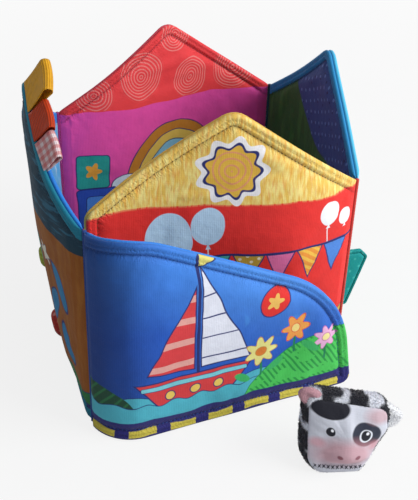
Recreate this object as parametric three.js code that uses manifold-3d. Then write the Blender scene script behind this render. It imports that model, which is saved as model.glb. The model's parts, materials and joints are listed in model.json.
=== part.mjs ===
// A soft cloth book that stands on its edges as a little open house. Five padded pages are sewn in one
// strip: the left, back, right and front pages are the four gabled walls, and the cover curls round the
// front-left corner and runs along in front of the front page. Each page is two cloth faces over a foam
// pad and a crinkle film. Ribbon tags, two patches and a flap are sewn on, and a stuffed cow stands beside.
// Millimetres and degrees. +Z is up, the front page runs along X, and headings turn from +X towards +Y.

import * as THREE from 'three';
import { mergeVertices } from 'three/addons/utils/BufferGeometryUtils.js';
import Module from 'manifold-3d';

// Page outlines
const pageWidth = 200;
const coverWidth = 211;
const eaveHeight = 154;
const gableRise = 64;
const peakRadius = 14;
const eaveRadius = 10;
const footRadius = 7;
const creaseRadius = 1;

// The cover's top edge falls from a low brow to a round shoulder and down its slanting free end
const browReach = 40;
const browRise = 5;
const browRadius = 80;
const shoulderReach = 194;
const shoulderHeight = 87;
const shoulderRadius = 92;

// How the pages stand: the heading of each wall, how far its middle bows out, and how far its quarters
// sway to either side. The left page bows more and more towards its top. The cover has a soft corner.
const leftHeading = 80.7;
const leftBow = 4;
const leftTopBow = 25;
const leftFullness = 2.9;
const leftBowRise = 2.3;
const backHeading = 2.2;
const backBow = 4.7;
const backSway = -9;
const rightHeading = -97.8;
const rightBow = 12;
const rightSway = 2;
const frontHeading = 177.3;
const frontBow = 4;
const frontSway = 9;
const evenFullness = 2;
const coverCurlRadius = 28;
const coverStartHeading = -90;
const coverHeading = 1.5;

// Padding of a page, as half thicknesses from its middle plane
const rimHalf = 1.6;
const beadHalf = 3.4;
const stitchHalf = 1.5;
const bodyHalf = 3.6;
const beadWidth = 8;
const shoulderWidth = 11;
const clothThickness = 0.8;
const filmThickness = 0.4;
const padMargin = 4;
const clearance = 0.3;

// Folds between pages
const foldStart = 1.5;
const foldHalf = 0.5;
const foldTaper = 9;
const seamRadius = 1.1;

// Ribbon tags, sewn into the left page's gable edge from the peak down towards the front
const ribbonThickness = 0.8;
const ribbonGap = 2;
const firstTagStart = 2;
const tagSpacing = 1.5;
const yellowTag = { width: 25, height: 25, lean: 32 };
const orangeTag = { width: 22, height: 16, lean: 38 };
const ginghamTag = { width: 21, height: 14, lean: 36 };

// Padded patches on the left page's outer face: place along the page, height of the middle, size
const upperPatch = { along: 100, height: 79, width: 20, tall: 18, depth: 4 };
const lowerPatch = { along: 80, height: 31, width: 22, tall: 26, depth: 6 };

// Flap on the right page's outer face
const flapFromCorner = 45;
const flapHeading = -7;
const flapReach = 28;
const flapFootReach = 14;
const flapTop = 67;
const flapBottom = 16;
const flapCornerDrop = 6;
const flapRadius = 3;
const flapBeadWidth = 4;
const flapShoulderWidth = 2;
const flapRimHalf = 0.9;
const flapBeadHalf = 2.2;
const flapStitchHalf = 1.2;
const flapBodyHalf = 2.4;
const flapPadMargin = 1;
const flapFoldTaper = 9;

// Stuffed cow: its place, the turn of its face, and its own sizes
const toyPlace = new THREE.Vector2(147.5, -95.5);
const toyTurn = -17.5;
const toyHeight = 55;
const toyTopDrop = 10.5;
const toyFootLeft = 27;
const toyFootRight = 9;
const toyCheek = 25;
const toyCheekHeight = 31;
const toyTopLeft = 28;
const toyTopRight = 24.5;
const toyTopRadius = 6;
const toyCheekRadius = 14;
const toyFootLeftRadius = 15;
const toyFootRightRadius = 6;
const toyFootDepth = 26;
const toyTopDepth = 14;
const toyFrontLean = 11;
const toyCrown = 5;
const toyBulge = 2.5;
const toyCloth = 0.9;
const toySink = 0.5;
const leftEar = { length: 13, width: 15, tilt: 140 };
const rightEar = { length: 15, width: 20, tilt: -20 };
const earDepth = 10;
const earRootStep = 3;

// Shares of the sizes above
const beadRiseShare = 0.19;
const beadRiseHalfShare = 0.82;
const beadTopShare = 0.52;
const padShoulderShare = 0.32;
const padShoulderHalfShare = 0.62;
const coverFootShares = [0.045, 0.09, 0.135, 0.18, 0.23, 0.42, 0.61, 0.8];
const patchRings = [
  { reachShare: 1, depthShare: 0.35 },
  { reachShare: 0.82, depthShare: 0.8 },
  { reachShare: 0.42, depthShare: 1 },
];
const toyCrownShares = [0.42, 0.8];

// Counts
const roundTurns = 3;
const peakTurns = 4;
const shoulderTurns = 6;
const footRuns = 8;
const leftRows = 2;
const slopeRuns = 4;
const browRuns = 3;
const patchSides = 16;
const toySides = 5;
const toyEdgeRuns = 2;
const seamSides = 8;
const loopTurns = 6;
const earSides = 12;
const earRings = 8;

const wasm = await Module();
wasm.setup();

const radians = THREE.MathUtils.degToRad;
const lerp = THREE.MathUtils.lerp;
const plane = (x, y) => new THREE.Vector2(x, y);
const space = (x, y, z) => new THREE.Vector3(x, y, z);
const compass = (heading) => plane(Math.cos(radians(heading)), Math.sin(radians(heading)));
const leftOf = (direction) => plane(-direction.y, direction.x);
const rightOf = (direction) => plane(direction.y, -direction.x);

const blueCloth = 0x2b5fc4;
const redCloth = 0xe8463c;
const pinkCloth = 0xe0559f;
const greenCloth = 0x2f7a5e;
const orangeCloth = 0xb9762c;
const skyCloth = 0x7fb8e0;
const tealCloth = 0x1e9a94;
const foamWhite = 0xf2efe6;
const filmSilver = 0xd7dde2;

const book = new THREE.Group();
const toy = new THREE.Group();

function addPiece(group, name, geometry, color, roughness = 0.85) {
  const material = new THREE.MeshStandardMaterial({ color, roughness, metalness: 0 });
  const mesh = new THREE.Mesh(geometry, material);
  mesh.name = name;
  group.add(mesh);
  return mesh;
}

// Outlines: a convex outline is a list of corners, counterclockwise from the lowest left one

function evenShares(runs) {
  return Array.from({ length: runs - 1 }, (_, i) => (i + 1) / runs);
}

function corner(x, y, radius, turns, shares = []) {
  return { at: plane(x, y), radius, turns, shares };
}

// Every corner moved inward, each with the radius that is left, but never sharper than a crease
function insetCorners(corners, inset) {
  return corners.map((here, i) => {
    const before = corners.at(i - 1).at;
    const after = corners[(i + 1) % corners.length].at;
    const inwardBefore = leftOf(here.at.clone().sub(before).normalize());
    const inwardAfter = leftOf(after.clone().sub(here.at).normalize());
    const reach = inset / (1 + inwardBefore.dot(inwardAfter));
    const at = here.at.clone().addScaledVector(inwardBefore.add(inwardAfter), reach);
    return { ...here, at, radius: Math.max(here.radius - inset, creaseRadius) };
  });
}

function cornerArc(before, here, after) {
  const coming = here.at.clone().sub(before.at).normalize();
  const going = after.at.clone().sub(here.at).normalize();
  const turn = Math.atan2(coming.cross(going), coming.dot(going));
  const start = here.at.clone().addScaledVector(coming, -here.radius * Math.tan(turn / 2));
  const centre = start.clone().addScaledVector(leftOf(coming), here.radius);
  const steps = Array.from({ length: here.turns + 1 }, (_, i) => i / here.turns);
  return steps.map((share) => start.clone().rotateAround(centre, turn * share));
}

// Points all round an outline at an inset, as many at every inset, with the last point of its foot. An
// outline with rows has points on both sides for each row, and inner points over those of its foot.
function outlineAt(corners, inset, rows = 0) {
  const moved = insetCorners(corners, inset);
  const count = moved.length;
  const arcs = moved.map((here, i) => cornerArc(moved.at(i - 1), here, moved[(i + 1) % count]));
  const points = [];
  let footEnd = 0;
  arcs.forEach((arc, i) => {
    points.push(...arc);
    if (i === 1) footEnd = points.length - 1;
    const next = arcs[(i + 1) % count][0];
    points.push(...moved[i].shares.map((share) => arc.at(-1).clone().lerp(next, share)));
  });
  const foot = points.slice(arcs[0].length, arcs[0].length + moved[0].shares.length);
  const rowHeights = Array.from({ length: rows }, (_, i) => points[footEnd + 1 + i].y);
  const inner = rowHeights.flatMap((height) => foot.map((point) => plane(point.x, height)));
  return { points, footEnd, inner, columns: foot.length, rows };
}

// Triangles between two chains of points that both run from left to right
function bandFaces(points, low, high) {
  const faces = [];
  let i = 0;
  let j = 0;
  while (i < low.length - 1 || j < high.length - 1) {
    const highDone = j === high.length - 1;
    const lowNext = i < low.length - 1 && (highDone || points[low[i + 1]].x <= points[high[j + 1]].x);
    faces.push(lowNext ? [low[i], low[i + 1], high[j]] : [low[i], high[j + 1], high[j]]);
    if (lowNext) i += 1;
    else j += 1;
  }
  return faces;
}

// Triangles across an outline, in bands between its foot, its rows and its top
function crossFaces({ points, footEnd, inner, columns, rows }) {
  const run = (length, start, step = 1) => Array.from({ length }, (_, i) => start + i * step);
  const foot = run(footEnd + 1, 0);
  const middle = run(rows, 0).map((row) => [
    points.length - 1 - row,
    ...run(columns, points.length + row * columns),
    footEnd + 1 + row,
  ]);
  const top = run(points.length - footEnd - 1 - 2 * rows, points.length - 1 - rows, -1);
  const chains = [foot, ...middle, top];
  return chains.slice(1).flatMap((chain, i) => bandFaces([...points, ...inner], chains[i], chain));
}

function fanFaces(count) {
  return Array.from({ length: count - 2 }, (_, i) => [0, i + 1, i + 2]);
}

// Two triangles between each pair of neighbours on two loops, split from a point of the loop with the
// lower rank to the next point of the other, so that layers that lie close are split alike
function jointFaces(loops, k, next) {
  const count = loops[k].points.length;
  const lowFirst = loops[k].rank <= loops[next].rank;
  return loops[k].points.flatMap((_, i) => {
    const after = (i + 1) % count;
    const [a, b] = [k * count + i, k * count + after];
    const [c, d] = [next * count + after, next * count + i];
    return lowFirst ? [[a, b, c], [a, c, d]] : [[a, b, d], [b, c, d]];
  });
}

// A closed solid from loops of points, each joined to the next. Both end loops are capped, with triangles
// whose indices past the loop stand for its inner points.
function loftedSolid(loops, caps) {
  const joints = loops.slice(1).flatMap((_, k) => jointFaces(loops, k, k + 1));
  const count = loops[0].points.length;
  const [first, last] = [loops[0].inner ?? [], loops.at(-1).inner ?? []];
  const total = count * loops.length;
  const placed = (loopStart, innerStart) => (index) => {
    return index < count ? loopStart + index : innerStart + index - count;
  };
  const firstCap = caps.map(([a, b, c]) => [a, c, b].map(placed(0, total)));
  const lastCap = caps.map((face) => face.map(placed(total - count, total + first.length)));
  const points = [...loops.flatMap((loop) => loop.points), ...first, ...last];
  return outwardGeometry(points, [...joints, ...firstCap, ...lastCap]);
}

// A ring-shaped solid, whose last loop joins its first
function hoopSolid(loops) {
  const joints = loops.flatMap((_, k) => jointFaces(loops, k, (k + 1) % loops.length));
  return outwardGeometry(loops.flatMap((loop) => loop.points), joints);
}

function outwardGeometry(points, faces) {
  const geometry = new THREE.BufferGeometry().setFromPoints(points);
  const volume = faces.reduce((sum, [a, b, c]) => {
    return sum + points[a].dot(points[b].clone().cross(points[c]));
  }, 0);
  const facing = volume > 0 ? faces : faces.map(([a, b, c]) => [a, c, b]);
  geometry.setIndex(facing.flat());
  return geometry;
}

// Walls: each gives, for a place along the page and a height, its middle point and its outward side

function bowedWall({ start, heading, width, bow, topBow = bow, fullness = evenFullness, sway = 0 }) {
  // The straight line between the folds is shorter than the page by what the bow and the sway take up
  const bowSquare = (4 * (fullness * bow) ** 2) / (2 * fullness - 1);
  const swaySquare = 2 * (Math.PI * sway) ** 2;
  const chord = width - (bowSquare + swaySquare) / (2 * width);
  const along = compass(heading);
  const outward = leftOf(along);
  const at = (reach, height) => {
    const share = reach / width;
    const fromTop = Math.max(1 - height / (eaveHeight + gableRise), 0);
    const bowHere = lerp(topBow, bow, fromTop ** leftBowRise);
    const fromMiddle = 1 - 2 * share;
    const wave = 2 * Math.PI * share;
    const offset = bowHere * (1 - Math.abs(fromMiddle) ** fullness) + sway * Math.sin(wave);
    const bowSlope = 2 * fullness * bowHere * Math.abs(fromMiddle) ** (fullness - 1) * Math.sign(fromMiddle);
    const slope = (bowSlope + 2 * Math.PI * sway * Math.cos(wave)) / chord;
    const middle = start.clone().addScaledVector(along, chord * share).addScaledVector(outward, offset);
    return { middle, side: outward.clone().addScaledVector(along, -slope).normalize() };
  };
  return { at, end: start.clone().addScaledVector(along, chord) };
}

function curledWall({ start, radius, heading }) {
  const first = compass(coverStartHeading);
  const curl = radius * radians(heading - coverStartHeading);
  const centre = start.clone().addScaledVector(leftOf(first), radius);
  const at = (reach) => {
    const angle = Math.min(reach, curl) / radius;
    const along = first.clone().rotateAround(plane(0, 0), angle);
    const middle = start.clone().rotateAround(centre, angle);
    middle.addScaledVector(along, Math.max(reach - curl, 0));
    return { middle, side: rightOf(along) };
  };
  return { at };
}

function onWall(wall, point, offset) {
  const { middle, side } = wall.at(point.x, point.y);
  return space(middle.x + side.x * offset, middle.y + side.y * offset, point.y);
}

// Padding: half thickness against the distance from a free edge, and against that from a fold

function paddingOf({ rim, bead, stitch, body, edge, shoulder, taper, margin }) {
  const rings = [
    { inset: 0, half: rim },
    { inset: edge * beadRiseShare, half: bead * beadRiseHalfShare },
    { inset: edge * beadTopShare, half: bead },
    { inset: edge, half: stitch },
    { inset: edge + shoulder * padShoulderShare, half: lerp(stitch, body, padShoulderHalfShare) },
    { inset: edge + shoulder, half: body },
  ];
  const halfAt = (inset) => {
    const next = rings.findIndex((ring) => ring.inset >= inset);
    if (next <= 0) return rings.at(next).half;
    const [a, b] = [rings[next - 1], rings[next]];
    return lerp(a.half, b.half, (inset - a.inset) / (b.inset - a.inset));
  };
  const nearFold = (distance) => lerp(foldHalf, body, Math.min((distance - foldStart) / taper, 1));
  return { rings, halfAt, nearFold, edge, padInset: edge + margin };
}

const pagePadding = paddingOf({
  rim: rimHalf,
  bead: beadHalf,
  stitch: stitchHalf,
  body: bodyHalf,
  edge: beadWidth,
  shoulder: shoulderWidth,
  taper: foldTaper,
  margin: padMargin,
});

const flapPadding = paddingOf({
  rim: flapRimHalf,
  bead: flapBeadHalf,
  stitch: flapStitchHalf,
  body: flapBodyHalf,
  edge: flapBeadWidth,
  shoulder: flapShoulderWidth,
  taper: flapFoldTaper,
  margin: flapPadMargin,
});

// A page is a wall, an outline on it, and its padding. Its solids are loops of that outline.
class Page {
  constructor({ name, wall, corners, folds, padding, rows = 0 }) {
    Object.assign(this, { name, wall, corners, folds, padding, rows });
  }

  halfAt(point, inset) {
    const foldHalves = this.folds.map((fold) => this.padding.nearFold(Math.abs(point.x - fold)));
    return Math.min(this.padding.halfAt(inset), ...foldHalves);
  }

  loop(inset, offsetOf) {
    const { points, inner } = outlineAt(this.corners, inset, this.rows);
    const placed = (point) => onWall(this.wall, point, offsetOf(this.halfAt(point, inset)));
    return { rank: inset, points: points.map(placed), inner: inner.map(placed) };
  }

  solid(loops) {
    return loftedSolid(loops, crossFaces(outlineAt(this.corners, this.padding.rings.at(-1).inset, this.rows)));
  }

  // One cloth face: its rim is solid with turned-in cloth as far as the stitch line
  face(side) {
    const insets = this.padding.rings.map((ring) => ring.inset);
    const lining = insets.filter((inset) => inset === 0 || inset >= this.padding.edge).reverse();
    const liningOf = (inset) => (half) => {
      const turnedIn = inset <= this.padding.edge;
      return side * (turnedIn ? clearance / 2 : half - clothThickness);
    };
    return this.solid([
      ...lining.map((inset) => this.loop(inset, liningOf(inset))),
      ...insets.map((inset) => this.loop(inset, (half) => side * half)),
    ]);
  }

  // A layer between the faces, from one depth under the outer face to another over the inner face
  layer(lowOf, highOf) {
    const insets = [this.padding.padInset, this.padding.rings.at(-1).inset];
    return this.solid([
      ...[...insets].reverse().map((inset) => this.loop(inset, lowOf)),
      ...insets.map((inset) => this.loop(inset, highOf)),
    ]);
  }

  film() {
    const under = clothThickness + clearance;
    return this.layer((half) => half - under - filmThickness, (half) => half - under);
  }

  pad(filmed) {
    const under = clothThickness + clearance;
    const filmDepth = filmed ? filmThickness + clearance : 0;
    return this.layer((half) => under - half, (half) => half - under - filmDepth);
  }
}

function gableCorners(width, leftIsFold, rightIsFold, rows = 0) {
  const left = leftIsFold ? foldStart : 0;
  const right = rightIsFold ? width - foldStart : width;
  const ending = (isFold, radius) => (isFold ? [creaseRadius, 1] : [radius, roundTurns]);
  const slopes = evenShares(slopeRuns);
  const sides = evenShares(rows + 1);
  return [
    corner(left, 0, ...ending(leftIsFold, footRadius), evenShares(footRuns)),
    corner(right, 0, ...ending(rightIsFold, footRadius), sides),
    corner(right, eaveHeight, ...ending(rightIsFold, eaveRadius), slopes),
    corner(width / 2, eaveHeight + gableRise, peakRadius, peakTurns, slopes),
    corner(left, eaveHeight, ...ending(leftIsFold, eaveRadius), sides),
  ];
}

function coverCorners() {
  return [
    corner(foldStart, 0, creaseRadius, 1, coverFootShares),
    corner(coverWidth, 0, footRadius, roundTurns),
    corner(shoulderReach, shoulderHeight, shoulderRadius, shoulderTurns, evenShares(slopeRuns)),
    corner(browReach, eaveHeight + browRise, browRadius, peakTurns, evenShares(browRuns)),
    corner(foldStart, eaveHeight, creaseRadius, 1),
  ];
}

function flapCorners() {
  return [
    corner(foldStart, flapBottom, creaseRadius, 1),
    corner(flapFootReach, flapBottom, flapRadius, roundTurns),
    corner(flapReach, flapTop - flapCornerDrop, flapRadius, roundTurns),
    corner(flapReach - flapCornerDrop, flapTop, flapRadius, roundTurns),
    corner(foldStart, flapTop, creaseRadius, 1),
  ];
}

// The four folds, at the corners of the house
const frontLeft = plane(0, 0);
const leftWall = bowedWall({
  start: frontLeft, heading: leftHeading, width: pageWidth, bow: leftBow, topBow: leftTopBow, fullness: leftFullness,
});
const backWall = bowedWall({
  start: leftWall.end, heading: backHeading, width: pageWidth, bow: backBow, sway: backSway,
});
const rightWall = bowedWall({
  start: backWall.end, heading: rightHeading, width: pageWidth, bow: rightBow, sway: rightSway,
});
const frontWall = bowedWall({
  start: rightWall.end, heading: frontHeading, width: pageWidth, bow: frontBow, sway: frontSway,
});
const coverWall = curledWall({ start: frontLeft, radius: coverCurlRadius, heading: coverHeading });

const bothFolds = { corners: gableCorners(pageWidth, true, true), folds: [0, pageWidth] };
const padding = pagePadding;
const coverPage = new Page({
  name: 'cover', wall: coverWall, corners: coverCorners(), folds: [0], padding,
});
const leftPage = new Page({
  name: 'left', wall: leftWall, ...bothFolds, corners: gableCorners(pageWidth, true, true, leftRows),
  padding, rows: leftRows,
});
const backPage = new Page({ name: 'back', wall: backWall, ...bothFolds, padding });
const rightPage = new Page({ name: 'right', wall: rightWall, ...bothFolds, padding });
const frontPage = new Page({
  name: 'front', wall: frontWall, corners: gableCorners(pageWidth, true, false), folds: [0], padding,
});

function addPage(page, outerColor, innerColor) {
  addPiece(book, `${page.name}_outer_face`, page.face(1), outerColor);
  addPiece(book, `${page.name}_inner_face`, page.face(-1), innerColor);
  addPiece(book, `${page.name}_foam_pad`, page.pad(true), foamWhite);
  addPiece(book, `${page.name}_crinkle_film`, page.film(), filmSilver, 0.3);
}

function addSeam(name, at, low, high, color) {
  const geometry = new THREE.CylinderGeometry(seamRadius, seamRadius, high - low, seamSides);
  const seam = addPiece(book, name, geometry, color);
  seam.rotation.x = Math.PI / 2;
  seam.position.set(at.x, at.y, (low + high) / 2);
}

// A ribbon folded in a flat loop, its width along the gable edge and its fold standing out of the edge
function addTag(name, start, { width, height, lean }, color) {
  const mid = pageWidth / 2;
  const slope = Math.atan2(gableRise, mid);
  const edgePoint = (down) => {
    return plane(mid - down * Math.cos(slope), eaveHeight + gableRise - down * Math.sin(slope));
  };
  const [high, low] = [edgePoint(start), edgePoint(start + width)];
  const [from, to] = [high, low].map((point) => onWall(leftWall, point, 0));
  const widthways = from.clone().sub(to).normalize();
  const { side } = leftWall.at((high.x + low.x) / 2, (high.y + low.y) / 2);
  const outward = space(side.x, side.y, 0);
  outward.addScaledVector(widthways, -outward.dot(widthways)).normalize();
  const up = widthways.clone().cross(outward).normalize();
  const inwardLean = radians(-lean);
  [outward, up].forEach((direction) => direction.applyAxisAngle(widthways, -inwardLean));

  const inner = ribbonGap / 2;
  const outer = inner + ribbonThickness;
  const shape = new THREE.Shape();
  shape.moveTo(outer, 0);
  shape.lineTo(outer, height - outer);
  shape.absarc(0, height - outer, outer, 0, Math.PI, false);
  shape.lineTo(-outer, 0);
  shape.lineTo(-inner, 0);
  shape.lineTo(-inner, height - outer);
  shape.absarc(0, height - outer, inner, Math.PI, 0, true);
  shape.lineTo(inner, 0);
  shape.closePath();
  const geometry = new THREE.ExtrudeGeometry(shape, {
    depth: width, bevelEnabled: false, curveSegments: loopTurns,
  });
  const tag = addPiece(book, name, geometry, color);
  const lift = clearance + outer * Math.sin(radians(lean));
  const basis = new THREE.Matrix4().makeBasis(outward, up, widthways);
  tag.quaternion.setFromRotationMatrix(basis);
  tag.position.copy(to).addScaledVector(up, lift);
}

// A small dome sewn on the left page's outer face
function addPatch(name, { along, height, width, tall, depth }, color) {
  const seat = bodyHalf + clearance;
  const ring = (reachShare, offset) => ({
    rank: 1 - reachShare,
    points: Array.from({ length: patchSides }, (_, i) => {
      const angle = (i / patchSides) * 2 * Math.PI;
      const reach = (Math.cos(angle) * width * reachShare) / 2;
      const rise = (Math.sin(angle) * tall * reachShare) / 2;
      return onWall(leftWall, plane(along + reach, height + rise), seat + offset);
    }),
  });
  const loops = [ring(1, 0), ...patchRings.map((row) => ring(row.reachShare, depth * row.depthShare))];
  addPiece(book, name, loftedSolid(loops, fanFaces(patchSides)), color);
}

// The flap swings on a seam that lies against the right page's outer face
function addFlap() {
  const reach = pageWidth - flapFromCorner;
  const foot = onWall(rightWall, plane(reach, 0), bodyHalf + clearance + seamRadius);
  const root = plane(foot.x, foot.y);
  const along = compass(flapHeading);
  const at = (distance) => {
    return { middle: root.clone().addScaledVector(along, distance), side: leftOf(along) };
  };
  const page = new Page({
    name: 'flap', wall: { at }, corners: flapCorners(), folds: [0], padding: flapPadding,
  });
  addPiece(book, 'flap_outer_face', page.face(1), tealCloth);
  addPiece(book, 'flap_inner_face', page.face(-1), tealCloth);
  addPiece(book, 'flap_pad', page.pad(false), foamWhite);
  addSeam('flap_seam', root, flapBottom, flapTop, tealCloth);
}

// The cow's front outline, seen from its front, with its feet sunk below the floor before they are cut
function toyCorners() {
  return [
    corner(-toyFootLeft, -toySink, toyFootLeftRadius, roundTurns, evenShares(toyEdgeRuns)),
    corner(toyFootRight, -toySink, toyFootRightRadius, roundTurns, evenShares(toyEdgeRuns)),
    corner(toyCheek, toyCheekHeight, toyCheekRadius, roundTurns),
    corner(toyTopRight, toyHeight - toyTopDrop, toyTopRadius, roundTurns, evenShares(toySides)),
    corner(-toyTopLeft, toyHeight, toyTopRadius, roundTurns, evenShares(toyEdgeRuns)),
  ];
}

// A loop round the cow at a share of its depth, shrunk to a share of its outline. It lies a layer deep
// under the cow's surface, and may bulge out all round and rise out of the panel it is in.
function toyLoop(depthShare, reachShare, layer, { bulge = 0, rise = 0 } = {}) {
  const { points } = outlineAt(toyCorners(), layer - bulge);
  const centre = plane(0, toyHeight / 2);
  return {
    rank: 1 - reachShare,
    points: points.map((point) => {
      const place = point.clone().sub(centre).multiplyScalar(reachShare).add(centre);
      const height = Math.max(place.y, layer);
      const climbed = height / toyHeight;
      const front = -toyFootDepth / 2 + toyFrontLean * climbed;
      const back = front + lerp(toyFootDepth, toyTopDepth, climbed);
      return space(place.x, lerp(front, back, depthShare) + rise, height);
    }),
  };
}

const crownAt = (reachShare) => toyCrown * (1 - reachShare * reachShare);
const bulgeAt = (depthShare) => toyBulge * 4 * depthShare * (1 - depthShare);
const toySeamShare = clearance / toyTopDepth;
const toyRows = [toySeamShare, 0.5, 1 - toySeamShare];

function toyPanel(isFront) {
  const depthShare = isFront ? 0 : 1;
  const out = isFront ? -1 : 1;
  const surface = (lift) => [...toyCrownShares, 1].map((row) => {
    return toyLoop(depthShare, row, 0, { rise: out * (crownAt(row) + lift) });
  });
  const outside = surface(toyCloth);
  const inside = surface(0);
  return loftedSolid([...inside, ...outside.reverse()], fanFaces(outside[0].points.length));
}

function toyGusset() {
  const surface = (layer) => toyRows.map((row) => {
    return { ...toyLoop(row, 1, layer, { bulge: bulgeAt(row) }), rank: row };
  });
  return hoopSolid([...surface(0), ...surface(toyCloth).reverse()]);
}

function toyStuffing() {
  const layer = toyCloth + clearance;
  const cap = (depthShare, out) => toyCrownShares.map((row) => {
    return toyLoop(depthShare, row, layer, { rise: out * crownAt(row) });
  });
  const middle = toyRows.map((row) => toyLoop(row, 1, layer, { bulge: bulgeAt(row) }));
  const loops = [...cap(toySeamShare, -1), ...middle, ...cap(1 - toySeamShare, 1).reverse()];
  return loftedSolid(loops, fanFaces(loops[0].points.length));
}

// The whole cow without its ears, grown by a clearance, which cuts the ears' roots
function toyEnvelope() {
  const cap = (depthShare, out) => [...toyCrownShares, 1].map((row) => {
    return toyLoop(depthShare, row, -clearance, { rise: out * (crownAt(row) + toyCloth + clearance) });
  });
  const middle = toyLoop(0.5, 1, -clearance, { bulge: toyBulge });
  const loops = [...cap(0, -1), middle, ...cap(1, 1).reverse()];
  return loftedSolid(loops, fanFaces(loops[0].points.length));
}

function toManifold(geometry) {
  const bare = geometry.clone();
  ['normal', 'uv'].forEach((attribute) => bare.deleteAttribute(attribute));
  const merged = mergeVertices(bare);
  return new wasm.Manifold(new wasm.Mesh({
    numProp: 3,
    vertProperties: new Float32Array(merged.attributes.position.array),
    triVerts: new Uint32Array(merged.index.array),
  }));
}

function fromManifold(solid) {
  const mesh = solid.getMesh();
  const geometry = new THREE.BufferGeometry();
  geometry.setAttribute('position', new THREE.BufferAttribute(mesh.vertProperties, mesh.numProp));
  geometry.setIndex(new THREE.BufferAttribute(mesh.triVerts, 1));
  return geometry;
}

function toyEar(root, { length, width, tilt }) {
  const geometry = new THREE.SphereGeometry(1, earSides, earRings);
  geometry.scale(length, earDepth / 2, width / 2);
  geometry.rotateY(-radians(tilt));
  const depth = -toyFootDepth / 2 + toyFrontLean + toyTopDepth / 2;
  geometry.translate(root.x, depth, root.y);
  return fromManifold(toManifold(geometry).subtract(toManifold(toyEnvelope())));
}

addPage(coverPage, blueCloth, skyCloth);
addPage(leftPage, orangeCloth, skyCloth);
addPage(backPage, pinkCloth, pinkCloth);
addPage(rightPage, greenCloth, greenCloth);
addPage(frontPage, redCloth, redCloth);

addSeam('front_left_fold_seam', frontLeft, 0, eaveHeight, blueCloth);
addSeam('back_left_fold_seam', leftWall.end, 0, eaveHeight, pinkCloth);
addSeam('back_right_fold_seam', backWall.end, 0, eaveHeight, greenCloth);
addSeam('front_right_fold_seam', rightWall.end, 0, eaveHeight, redCloth);

const orangeStart = firstTagStart + yellowTag.width + tagSpacing;
const ginghamStart = orangeStart + orangeTag.width + tagSpacing;
addTag('yellow_ribbon_tag', firstTagStart, yellowTag, 0xd9a62c);
addTag('orange_ribbon_tag', orangeStart, orangeTag, 0xc4501f);
addTag('gingham_ribbon_tag', ginghamStart, ginghamTag, 0xd8706a);

addPatch('upper_patch', upperPatch, 0x9fae3c);
addPatch('lower_patch', lowerPatch, 0xb5342c);
addFlap();

addPiece(toy, 'toy_front_panel', toyPanel(true), 0xe6e2ec);
addPiece(toy, 'toy_back_panel', toyPanel(false), 0xe6e2ec);
addPiece(toy, 'toy_gusset', toyGusset(), 0x2a2a30);
addPiece(toy, 'toy_stuffing', toyStuffing(), foamWhite);
const leftEarRoot = plane(earRootStep - toyTopLeft, toyHeight - earRootStep);
const rightEarRoot = plane(toyTopRight - earRootStep, toyHeight - toyTopDrop - rightEar.width / 2);
addPiece(toy, 'toy_left_ear', toyEar(leftEarRoot, leftEar), 0xd9a9b4);
addPiece(toy, 'toy_right_ear', toyEar(rightEarRoot, rightEar), 0xe6e2ec);
toy.position.set(toyPlace.x, toyPlace.y, 0);
toy.rotation.z = radians(toyTurn);

// The origin is the middle of the whole set's footprint, on the floor
const model = new THREE.Group();
model.add(book, toy);
const box = new THREE.Box3().setFromObject(model, true);
const centre = box.getCenter(space());
model.position.set(-centre.x, -centre.y, -box.min.z);

export default model;
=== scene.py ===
"""The looks of a soft crinkle cloth book that stands open as a little house, with a loose stuffed cow.

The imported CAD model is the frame. Sizes are millimetres. Places on a page are its reach from its first
fold and its height over the floor, and the frame's fold seams say where each page stands. A page is an
envelope of two printed cloths whose padding is puffed by a cloth simulation inside the stitch line. Its
print is drawn by nodes from the page's own map, in general shapes.
"""

import json
import logging
from dataclasses import dataclass
from enum import Enum
from math import atan2, cos, exp, hypot, pi, radians, sin, sqrt, tan

import bpy
import numpy as np
from mathutils import Matrix, Vector, noise
from mathutils.geometry import delaunay_2d_cdt
from numpy.linalg import norm

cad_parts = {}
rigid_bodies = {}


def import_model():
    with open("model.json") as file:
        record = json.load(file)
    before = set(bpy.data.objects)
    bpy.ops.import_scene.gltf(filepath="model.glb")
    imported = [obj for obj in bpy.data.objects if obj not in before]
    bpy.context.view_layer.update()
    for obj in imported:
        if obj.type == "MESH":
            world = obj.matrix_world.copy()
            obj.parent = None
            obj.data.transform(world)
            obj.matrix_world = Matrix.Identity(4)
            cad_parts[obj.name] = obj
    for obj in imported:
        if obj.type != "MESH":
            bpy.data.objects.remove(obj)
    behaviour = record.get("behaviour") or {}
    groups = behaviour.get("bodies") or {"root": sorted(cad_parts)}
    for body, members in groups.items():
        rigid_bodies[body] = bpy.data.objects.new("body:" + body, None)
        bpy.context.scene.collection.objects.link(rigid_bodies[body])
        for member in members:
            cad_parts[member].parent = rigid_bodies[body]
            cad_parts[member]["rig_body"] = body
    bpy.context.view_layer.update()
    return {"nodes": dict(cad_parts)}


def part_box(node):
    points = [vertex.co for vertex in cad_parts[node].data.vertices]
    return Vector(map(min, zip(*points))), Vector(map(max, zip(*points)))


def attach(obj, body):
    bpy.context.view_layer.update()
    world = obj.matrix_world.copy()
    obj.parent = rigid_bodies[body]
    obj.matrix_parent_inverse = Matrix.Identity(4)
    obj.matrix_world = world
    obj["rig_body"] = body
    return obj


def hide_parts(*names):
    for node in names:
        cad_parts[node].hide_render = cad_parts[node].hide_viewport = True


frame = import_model()

log = logging.getLogger("cloth_book")

MM = 0.001
# A cloth's own map spans this many millimetres. Its points also carry their distance to the free edge,
# their place along it, and on plush how dark the pile is.
MAP_SPAN = 256.0
MAP = "page_map"
EDGE = "edge_mm"
RUN = "run_mm"
DARK = "dark"
# Where the thread draws the cloth in, and the groove between the rolls of the rim
STITCH_LINE = 8.1
ROLL_LINE = 3.9
NAVY = "#27306e"
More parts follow.
